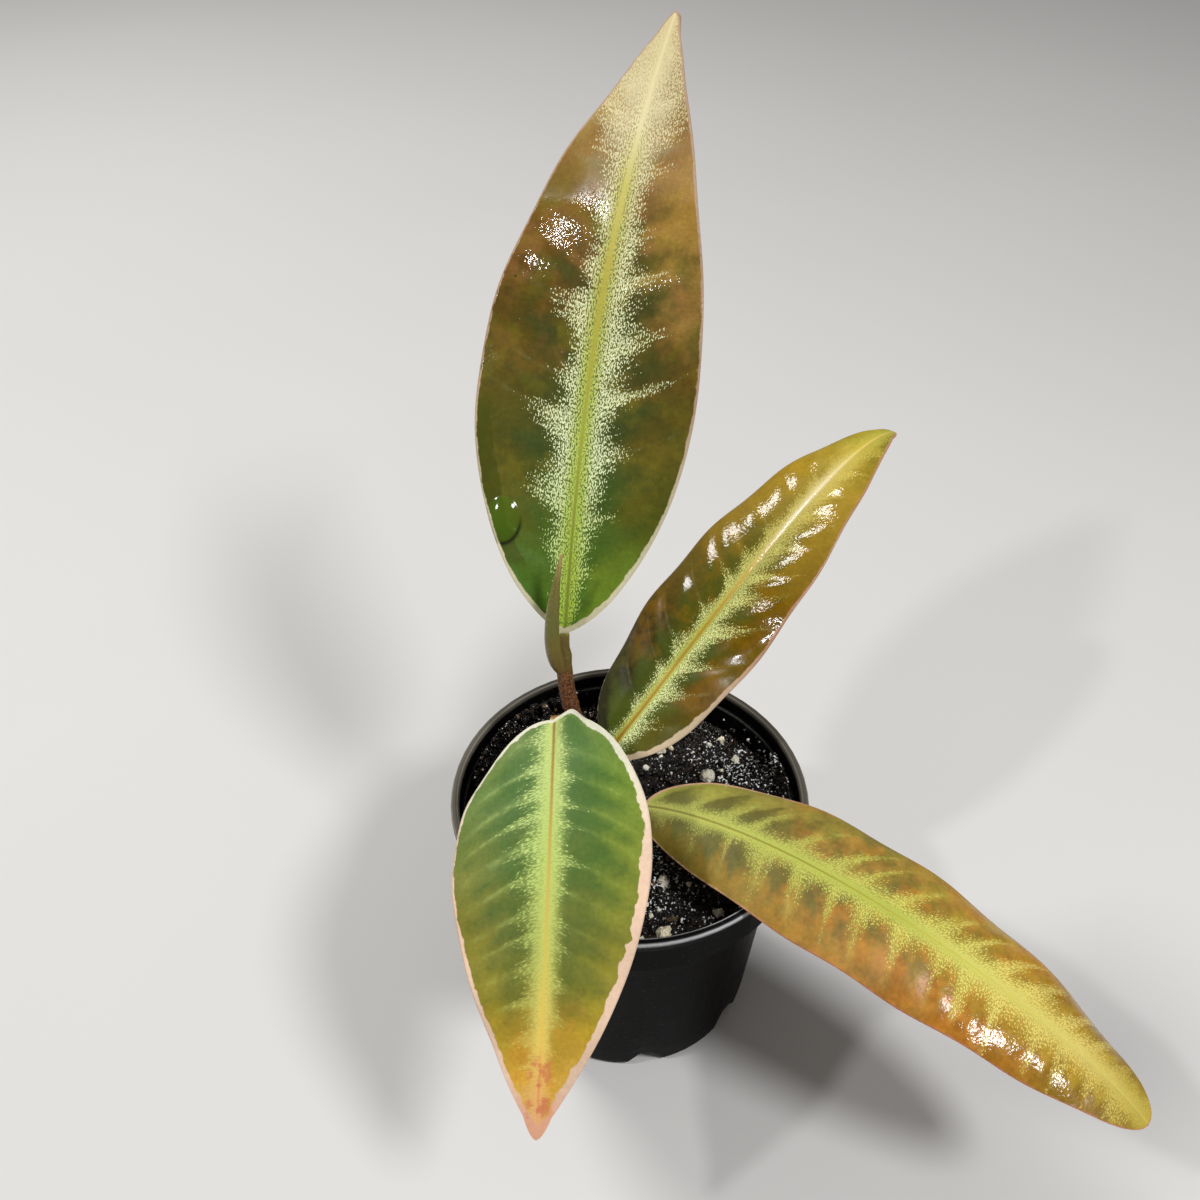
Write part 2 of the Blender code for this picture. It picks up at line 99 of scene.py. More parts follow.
SPEAR_ROUTE = ((-16.7, 9.6, 106.6), (-20.2, 7.8, 114.6), (-18.7, 9.5, 127.5), (-16.1, 13.0, 139.5))
SPEAR_RADII = ((0.0, 0.1, 0.2, 0.34, 0.6, 1.0), (1.25, 1.7, 1.8, 1.75, 1.4, 0.25))
RIB_THICKNESS = 2.2
PETIOLE_HALF_WIDTH = 1.1
PETIOLE_STIFFNESS = 0.4
SPREAD_REACH = 9.0
CUP_SHARE = 0.22
MARGIN_WAVE = 0.6
MARGIN_WAVES = 4.5
LEVEL_SHARE = 0.0135  # the petiole takes the blade's direction at this share

# Leaves, for the looks only

PETIOLE_ROWS = 14
BLADE_ROWS = 170
HALF_COLUMNS = 24
EVEN_ROWS = 0.2  # share of an even spacing in the rows, which are otherwise closer at base and tip
EVEN_COLUMNS = 0.45  # share of an even spacing in the columns, which are otherwise closer at the margins
LEAD_SHARE = 0.0045  # the blade's first direction is measured up to this share
BLADE_THICKNESS = 0.5
MARGIN_THICKNESS = 0.3
PETIOLE_SIDE_THICKNESS = 0.25
TIP_HALF_WIDTH = 0.2
RIB_HALF_WIDTH = 1.25
LATERAL_HEIGHT = 0.16  # how far the lateral veins stand out below
LATERAL_HALF_WIDTH = 0.05  # as a share of the spacing
GROOVE_DEPTH = 0.16  # of the groove along the midrib
GROOVE_HALF_WIDTH = 0.8
BANK_HEIGHT = 0.12  # how far both banks of that groove stand up
BANK_PLACE = 1.7  # millimetres from the midrib's middle
FAR_FROM_EDGE = 9.0  # the petiole's distance to the margin, for its material
VEIN_OFFSET = 0.24  # share of the spacing by which right veins start earlier and left ones later

# how far the blade's base reaches back beside the petiole on its right and left side, in mm
BASE_LOBES = {"leaf_front": (0.5, 3.5)}

# share of the blade over which its tip is rounded, and how round it is
BLUNT_TIPS = {
    "leaf_tall": (0.035, 0.4),
    "leaf_front": (0.05, 0.45),
    "leaf_back": (0.035, 0.4),
    "leaf_low": (1.0, 0.0),
}

# depth of the groove along the midrib, as a factor
GROOVES = {"leaf_tall": 0.05, "leaf_front": 1.0, "leaf_back": 0.8, "leaf_low": 0.6}

# half width of each petiole where it leaves the stem
PETIOLE_FEET = {"leaf_tall": 1.6, "leaf_front": 1.2, "leaf_back": 1.2, "leaf_low": 1.2}

# spacing of the lateral veins at base and tip in mm, how far the blade bulges between them in mm, the degrees
# between them and the midrib on its right and left side, and how much they bend towards the tip there
VEINS = {
    "leaf_tall": (15.5, 10.5, 0.34, (79.0, 80.0), (0.009, 0.008)),
    "leaf_front": (7.6, 6.0, 0.14, (76.0, 76.0), (0.012, 0.012)),
    "leaf_back": (10.4, 8.2, 0.36, (70.0, 70.0), (0.016, 0.016)),
    "leaf_low": (9.6, 7.6, 0.3, (86.0, 66.0), (0.006, 0.022)),
}

# how much flatter the bulges are around this share of the blade
CALM = {"leaf_low": 0.6}
CALM_SHARE = 0.77


def srgb(*values):
    """A linear colour from display values of 0 to 255."""
    shares = [value / 255 for value in values]
    return tuple(share / 12.92 if share <= 0.04 else ((share + 0.055) / 1.055) ** 2.4 for share in shares)


# Node helpers

SOCKETS = {
    "coat_weight": "Coat Weight",
    "coat_roughness": "Coat Roughness",
    "ior": "IOR",
    "specular": "Specular IOR Level",
}


class Signal:
    """A socket of a node tree that arithmetic can build on."""

    def __init__(self, paint, socket):
        self.paint = paint
        self.socket = socket

    def __add__(self, other):
        return self.paint.math("ADD", self, other)

    def __sub__(self, other):
        return self.paint.math("SUBTRACT", self, other)

    def __rsub__(self, other):
        return self.paint.math("SUBTRACT", other, self)

    def __mul__(self, other):
        return self.paint.math("MULTIPLY", self, other)

    def __truediv__(self, other):
        return self.paint.math("DIVIDE", self, other)

    def __pow__(self, other):
        return self.paint.math("POWER", self, other)

    __radd__ = __add__
    __rmul__ = __mul__

    def abs(self):
        return self.paint.math("ABSOLUTE", self, 0.0)


class Paint:
    """Builds the nodes of one material."""

    def __init__(self, name):
        self.material = bpy.data.materials.new(name)
        self.material.use_nodes = True
        self.tree = self.material.node_tree
        self.shader = self.tree.nodes["Principled BSDF"]

    def put(self, socket, value):
        if isinstance(value, Signal):
            self.tree.links.new(value.socket, socket)
        elif isinstance(value, tuple) and len(value) == 3 and socket.type == "RGBA":
            socket.default_value = (*value, 1.0)
        else:
            socket.default_value = value

    def add(self, kind, *values, **settings):
        """A node with the settings, and with its first inputs set or wired to the values."""
        node = self.tree.nodes.new(kind)
        for name, setting in settings.items():
            setattr(node, name, setting)
        for socket, value in zip(node.inputs, values):
            self.put(socket, value)
        return node

    def made(self, kind, *values, output=0, **settings):
        """One output of such a node."""
        return Signal(self, self.add(kind, *values, **settings).outputs[output])

    def math(self, operation, *values):
        return self.made("ShaderNodeMath", *values, operation=operation)

    def least(self, a, b):
        return self.math("MINIMUM", a, b)

    def most(self, a, b):
        return self.math("MAXIMUM", a, b)

    def above(self, value, limit):
        """1 where the value is above the limit, and 0 elsewhere."""
        return self.math("GREATER_THAN", value, limit)

    def rise(self, value, low, high):
        """0 below low, 1 above high, and smooth between."""
        return self.made("ShaderNodeMapRange", value, low, high, 0.0, 1.0, interpolation_type="SMOOTHSTEP")

    def window(self, value, low, full, last, high):
        """Rises from 0 at low to 1 at full, and falls from 1 at last to 0 at high."""
        return self.rise(value, low, full) * self.rise(value, high, last)

    def bell(self, value, width):
        """1 at zero, dying out smoothly past the width."""
        scaled = value / width
        return self.math("EXPONENT", scaled * scaled * -1.0)

    def attribute(self, name):
        return self.made("ShaderNodeAttribute", output="Vector", attribute_name=name)

    def split(self, vector):
        node = self.add("ShaderNodeSeparateXYZ", vector)
        return [Signal(self, output) for output in node.outputs]

    def join(self, x, y, z=0.0):
        return self.made("ShaderNodeCombineXYZ", x, y, z)

    def scaled(self, vector, factor):
        """The vector or colour with each part multiplied by the factor."""
        node = self.add("ShaderNodeVectorMath", vector, operation="SCALE")
        self.put(node.inputs["Scale"], factor)
        return Signal(self, node.outputs[0])

    def moved(self, vector, distance):
        """The vector with the distance added to each part."""
        return self.made("ShaderNodeVectorMath", vector, (distance,) * 3, operation="ADD")

    def place(self):
        """The point's place in the row frame, in millimetres."""
        return self.scaled(self.made("ShaderNodeTexCoord", output="Object"), 1 / MM)

    def noise(self, vector, scale, detail=2.0, roughness=0.5):
        """Noise of 0 to 1 about 0.5. The scale is in features per unit of the vector."""
        return self.made("ShaderNodeTexNoise", vector, 0.0, scale, detail, roughness)

    def cells(self, vector, scale, feature="F1"):
        """Distance to the nearest of many scattered points, or to the edge of its cell."""
        return self.made("ShaderNodeTexVoronoi", vector, 0.0, scale, feature=feature)

    def chance(self, vector):
        """A random number of 0 to 1 for each value of the vector."""
        return self.made("ShaderNodeTexWhiteNoise", vector, noise_dimensions="3D")

    def mix(self, factor, a, b):
        node = self.add("ShaderNodeMix", factor, data_type="RGBA", clamp_factor=True)
        self.put(node.inputs[6], a)
        self.put(node.inputs[7], b)
        return Signal(self, node.outputs[2])

    def ramp(self, value, stops):
        """A colour that runs through stops of (value, linear colour)."""
        node = self.add("ShaderNodeValToRGB", value)
        elements = node.color_ramp.elements
        while len(elements) < len(stops):
            elements.new(1.0)
        for element, (position, colour) in zip(elements, stops):
            element.position = position
            element.color = (*colour, 1.0)
        return Signal(self, node.outputs[0])

    def tones(self, value, stops):
        """A colour that runs through stops of (value, red, green, blue), as display values."""
        return self.ramp(value, [(position, srgb(*colour)) for position, *colour in stops])

    def curve(self, value, stops, most=4.0):
        """A number that runs through stops of (value, number), up to most."""
        grey = [(position, (number / most,) * 3) for position, number in stops]
        return self.split(self.ramp(value, grey))[0] * most

    def bump(self, height):
        """Sets the surface's relief from a height in millimetres."""
        node = self.add("ShaderNodeBump")
        node.inputs["Strength"].default_value = 1.0
        node.inputs["Distance"].default_value = MM
        self.put(node.inputs["Height"], height)
        self.tree.links.new(node.outputs[0], self.shader.inputs["Normal"])
        if self.shader.inputs["Coat Weight"].default_value > 0:
            self.tree.links.new(node.outputs[0], self.shader.inputs["Coat Normal"])

    def surface(self, colour, roughness, height=None, **constants):
        """The finished material, with its constants set on the shader."""
        for name, value in constants.items():
            self.shader.inputs[SOCKETS[name]].default_value = value
        self.put(self.shader.inputs["Base Color"], colour)
        self.put(self.shader.inputs["Roughness"], roughness)
        if height is not None:
            self.bump(height)
        return self.material


# Mesh helpers


def show(mesh, name, materials, node):
    """Adds a piece that moves with the plant's one body and takes the place of a solid."""
    obj = bpy.data.objects.new(name, mesh)
    bpy.context.scene.collection.objects.link(obj)
    for finish in materials:
        mesh.materials.append(finish)
    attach(obj, "root")
    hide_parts(node)


def mesh_of(name, points, faces):
    """A smoothly shaded mesh of points in millimetres."""
    mesh = bpy.data.meshes.new(name)
    mesh.from_pydata((np.asarray(points) * MM).tolist(), [], [tuple(face) for face in faces])
    mesh.shade_smooth()
    mesh.update()
    return mesh


def store(mesh, name, values):
    """Keeps three numbers for each point of the mesh."""
    layer = mesh.attributes.new(name, "FLOAT_VECTOR", "POINT")
    layer.data.foreach_set("vector", np.asarray(values, np.float32).reshape(-1))


def hump(values, width):
    """1 where the values are zero, dying out smoothly past the width."""
    return np.exp(-((values / width) ** 2))


def unit(vectors):
    return vectors / np.maximum(np.linalg.norm(vectors, axis=-1, keepdims=True), 1e-9)


def bezier(points, t):
    a, b, c, d = np.array(points, float)
    t = np.asarray(t, float)[..., None]
    rest = 1.0 - t
    return a * rest**3 + 3 * b * rest**2 * t + 3 * c * rest * t**2 + d * t**3


def along(points, shares):
    """Points of a Bezier curve at shares of its length, and the length."""
    fine = bezier(points, np.linspace(0, 1, 801))
    reached = np.concatenate([[0.0], np.cumsum(np.linalg.norm(np.diff(fine, axis=0), axis=1))])
    wanted = np.asarray(shares) * reached[-1]
    return np.stack([np.interp(wanted, reached, fine[:, i]) for i in range(3)], 1), reached[-1]


def turn(vectors, axes, angles):
    """Vectors turned about unit axes that they are square to."""
    angles = angles[:, None]
    return vectors * np.cos(angles) + np.cross(axes, vectors) * np.sin(angles)


# Leaf shape


def blade_half_width(name, share):
    """Millimetres from the midrib to the margin, at shares of the flattened blade."""
    leaf = LEAVES[name]
    base, tip = leaf["fullness"]
    widest = base / (base + tip)
    inside = np.clip(share, 1e-9, 1 - 1e-9)
    width = leaf["half_width"] * (inside / widest) ** base * ((1 - inside) / (1 - widest)) ** tip
    reach, roundness = BLUNT_TIPS[name]
    blunt = np.maximum(1.0, ((1 - inside) / reach) ** -roundness)
    return np.where((share <= 0) | (share >= 1), 0.0, width * blunt)


def leaf_rows(leaf):
    """Places on the petiole and midrib, share of the blade, and millimetres from the blade's base."""
    even = np.linspace(0, 1, BLADE_ROWS + 1)
    shares = (1 - EVEN_ROWS) * (1 - np.cos(math.pi * even)) / 2 + EVEN_ROWS * even
    blade, length = along(leaf["midrib"], shares)
    base = blade[0]
    lead = unit(along(leaf["midrib"], [0.0, LEAD_SHARE])[0][1] - base)
    upward = np.cross(unit(np.cross(lead, UP)), lead)
    start = bezier(STEM_ROUTE, leaf["stem_share"]) + upward * RIB_THICKNESS / 2
    stiff = np.linalg.norm(base - start) * PETIOLE_STIFFNESS
    route = (start, start + (base - start) * PETIOLE_STIFFNESS, base - lead * stiff, base)
    petiole, reach = along(route, np.linspace(0, 1, PETIOLE_ROWS + 1))
    behind = -reach * np.linspace(1, 0, PETIOLE_ROWS + 1)[:-1]
    places = np.concatenate([petiole[:-1], blade])
    return places, np.concatenate([behind * 0, shares]), np.concatenate([behind, shares * length]), length


def leaf_frames(leaf, places, shares):
    """Unit vectors along the leaf, to its right and out of its upper face, at each place."""
    tangents = unit(np.gradient(places, axis=0))
    first = int(np.argmax(shares >= LEVEL_SHARE))
    levels = np.cross(tangents, UP)
    levels[:first] = levels[first]
    rights = unit(levels - tangents * (levels * tangents).sum(1, keepdims=True))
    first_roll, last_roll = leaf["roll"]
    rolls = np.radians(first_roll + (last_roll - first_roll) * shares)
    ups = np.cross(rights, tangents)
    return tangents, turn(rights, tangents, rolls), turn(ups, tangents, rolls)


def vein_origin(name, across, run):
    """Millimetres along the midrib to where a point's lateral vein leaves it."""
    angles, bends = VEINS[name][3:]
    reach = np.abs(across)
    side = np.where(across > 0, 0, 1)
    return run - reach / np.tan(np.radians(np.take(angles, side))) - np.take(bends, side) * reach**2


def vein_phase(name, across, origin, length):
    """Counts the lateral veins, with a whole number on each vein."""
    first, last = VEINS[name][:2]
    share = origin / length
    phase = origin / first + (1 / last - 1 / first) * origin * np.clip(share, 0, 1) / 2
    wander = 0.12 * np.sin(origin * 0.21 + 1.3) + 0.08 * np.sin(origin * 0.47)
    return phase + wander + VEIN_OFFSET * np.tanh(across / 1.5)


def edge_distance(name, across, run, length):
    """Millimetres from each point of the flattened blade to its margin."""
    even = np.linspace(0, 1, 500)
    shares = (1 - np.cos(math.pi * even)) / 2
    outline = np.stack([blade_half_width(name, shares), shares * length], 1)
    points = np.stack([np.abs(across).ravel(), run.ravel()], 1)
    nearest = np.full(len(points), 1e9)
    for start in range(0, len(outline), 100):
        gaps = points[:, None, :] - outline[None, start : start + 100, :]
        nearest = np.minimum(nearest, np.sqrt((gaps**2).sum(2)).min(1))
    return np.where(run.ravel() < 0, FAR_FROM_EDGE, nearest).reshape(across.shape)


def grid_faces(rows, columns):
    """Faces of a closed sheet whose upper grid comes first and its lower grid after it."""
    index = np.arange(rows * columns).reshape(rows, columns)
    lower = index + rows * columns
    top = np.stack([index[:-1, :-1], index[:-1, 1:], index[1:, 1:], index[1:, :-1]], -1).reshape(-1, 4)
    under = np.stack([lower[:-1, :-1], lower[1:, :-1], lower[1:, 1:], lower[:-1, 1:]], -1).reshape(-1, 4)
    left = np.stack([index[:-1, 0], index[1:, 0], lower[1:, 0], lower[:-1, 0]], -1)
    right = np.stack([index[1:, -1], index[:-1, -1], lower[:-1, -1], lower[1:, -1]], -1)
    foot = np.stack([index[0, 1:], index[0, :-1], lower[0, :-1], lower[0, 1:]], -1)
    tip = np.stack([index[-1, :-1], index[-1, 1:], lower[-1, 1:], lower[-1, :-1]], -1)
    return top, under, np.concatenate([left, right, foot, tip])


def leaf_sheet(name, frames, places, share, half_width, out, spread):
    """Points of the blade's smooth upper face: folded, cupped, curled and waved as its solid."""
    leaf = LEAVES[name]
    tangents, rights, ups = (vectors[:, None, :] for vectors in frames)
    side = np.where(out > 0, 0, 1)
    cup = np.take(leaf["cup"], side) * np.maximum(0, 1 - share / CUP_SHARE) ** 2
    lift = np.radians(np.take(leaf["fold"], side) + cup) * spread
    curl = np.radians(np.take(leaf["curl"], side)) * spread
    safe = np.where(np.abs(curl) < 0.001, 0.001, curl)
    end = lift + safe * np.abs(out)
    across = np.sign(out) * (np.sin(end) - np.sin(lift)) / safe
    rise = (np.cos(lift) - np.cos(end)) / safe
    wave_side = np.where(out < 0, -1.0, 1.0)
    wave = MARGIN_WAVE * spread * np.sin(2 * math.pi * MARGIN_WAVES * share + wave_side) * np.abs(out) ** 3
    aside = rights * (half_width * across)[..., None]
    points = places[:, None, :] + aside + ups * (half_width * rise + wave)[..., None]
    beside = hump(np.abs(out * half_width) - 4.5, 3.2) * hump(share, 0.08)
    back = np.where(out > 0, *BASE_LOBES.get(name, (0.0, 0.0))) * beside
    return points - tangents * back[..., None]


def leaf_mesh(name):
    """The leaf as one closed sheet: bulges between its veins above, and midrib and laterals below."""
    places, shares, run, length = leaf_rows(LEAVES[name])
    foot = PETIOLE_HALF_WIDTH + (PETIOLE_FEET[name] - PETIOLE_HALF_WIDTH) * np.clip(run / run[0], 0, 1)
    narrowest = np.where(shares < 0.5, foot, TIP_HALF_WIDTH)
    half_width = np.maximum(blade_half_width(name, shares), narrowest)[:, None]
    even = np.linspace(-1, 1, 2 * HALF_COLUMNS + 1)
    arc = math.pi / 2 * 0.92
    out = ((1 - EVEN_COLUMNS) * np.sin(even * arc) / math.sin(arc) + EVEN_COLUMNS * even)[None, :]
    share = shares[:, None]
    spread = np.clip((half_width - PETIOLE_HALF_WIDTH) / SPREAD_REACH, 0, 1)
    frames = leaf_frames(LEAVES[name], places, shares)
    upper = leaf_sheet(name, frames, places, share, half_width, out, spread)

    # what each point is to the veins and the margin
    flat = out * half_width
    runs = np.broadcast_to(run[:, None], flat.shape)
    edge = edge_distance(name, flat, runs, length)
    origin = vein_origin(name, flat, runs)
    phase = vein_phase(name, flat, origin, length)
    inner = np.clip((np.abs(flat) - 1.0) / 4, 0, 1)

    # relief of the upper face
    normals = unit(np.cross(np.gradient(upper, axis=1), np.gradient(upper, axis=0)))
    calm = 1 - CALM.get(name, 0.0) * hump(share - CALM_SHARE, 0.1)
    bulge = np.sin(math.pi * phase) ** 2 - 0.5
    relief = VEINS[name][2] * bulge * inner * np.clip(edge / 5, 0, 1) * spread * calm
    banks = BANK_HEIGHT * hump(np.abs(flat) - BANK_PLACE, GROOVE_HALF_WIDTH)
    groove = banks - GROOVE_DEPTH * hump(flat, GROOVE_HALF_WIDTH)
    groove = groove * GROOVES[name] * np.clip(half_width / 6, 0, 1) * (1 - 0.6 * share)
    upper = upper + normals * (relief + groove)[..., None]

    # thickness
    rib = hump(flat, RIB_HALF_WIDTH) * (1 - 0.8 * share) * (RIB_THICKNESS - BLADE_THICKNESS)
    blade = MARGIN_THICKNESS + (BLADE_THICKNESS - MARGIN_THICKNESS) * np.clip(edge / 2, 0, 1)
    laterals = LATERAL_HEIGHT * hump(phase - np.round(phase), LATERAL_HALF_WIDTH) * inner
    sheet = blade + rib + laterals * np.clip(edge / 6, 0, 1)
    round_part = np.sqrt(np.clip(1 - out**2, 0, 1))
    stalk = PETIOLE_SIDE_THICKNESS + (RIB_THICKNESS - PETIOLE_SIDE_THICKNESS) * round_part
    depth = stalk + (sheet - stalk) * np.clip((half_width - PETIOLE_HALF_WIDTH) / 4, 0, 1)
    lower = upper - normals * depth[..., None]

    top, under, rim = grid_faces(*flat.shape)
    points = np.concatenate([upper.reshape(-1, 3), lower.reshape(-1, 3)])
    mesh = mesh_of(name, points, np.concatenate([top, under, rim]))
    slots = np.concatenate([np.zeros(len(top)), np.ones(len(under)), np.zeros(len(rim))]).astype(np.int32)
    mesh.polygons.foreach_set("material_index", slots)
    known = {
        "spot": (flat, runs, np.zeros_like(flat)),
        "form": (share, out, edge),
        "vein": (phase, origin, np.zeros_like(flat)),
    }
    for attribute, parts in known.items():
        values = np.stack([np.broadcast_to(part, flat.shape) for part in parts], -1).reshape(-1, 3)
        store(mesh, attribute, np.concatenate([values, values]))
    return mesh


# Leaf looks

# In every list of stops the first number is the share of the blade, from 0 at its base to 1 at its tip.

# inner, right, left: the ground's colour beside the midrib and on the two outer parts, as display values
# sides: the shares of the half width between which inner gives way to right and left
# tongues: how much further inner reaches out between the veins
# blotches: colour, strength, first and last share of the blade
# mottle, streaks: strength of the mottling, and of the streaks near the tip
# near, far: the pale band's colour at the midrib and further out
# band: dense half width and feathered half width in mm, fullness and most cover
# band_taper, lean: the band's width as a factor, and how much wider it is on the right
# speck: contrast of the grains, softness of their edges, and how far they are drawn out
# grain, glow, core: grains to a mm, strength of the glow, and half width of the continuous stripe in mm
# rays: half width of the rays that follow the veins, as a share of the spacing, and their least length
# rib, rib_width, rib_core, rib_strength: the midrib's colour, half width in mm, full part and cover
# vein_light, vein_grain: strength of the pale lateral veins, and of the grains on them
# vein_line: half width of those veins in mm, their raggedness, and how much stronger they are on the right
# margin, margin_base, margin_tip: the margin's colour in the middle, at the base and at the tip
# margin_right, margin_left, scallops: the margin's width in mm, and how ragged its inner side is
# blush: colour, first and last share, and half width in mm of a tint beside the midrib
# stalk, stalk_foot: the petiole's two colours, and the colour where it leaves the stem
# gloss, frost, dull_rib: the roughness, and what is added to it in spots and beside the midrib
# pebble, waves: height of the fine relief and of the soft waves in mm
# specular, water: the strength of reflections, and whether water lies on the leaf

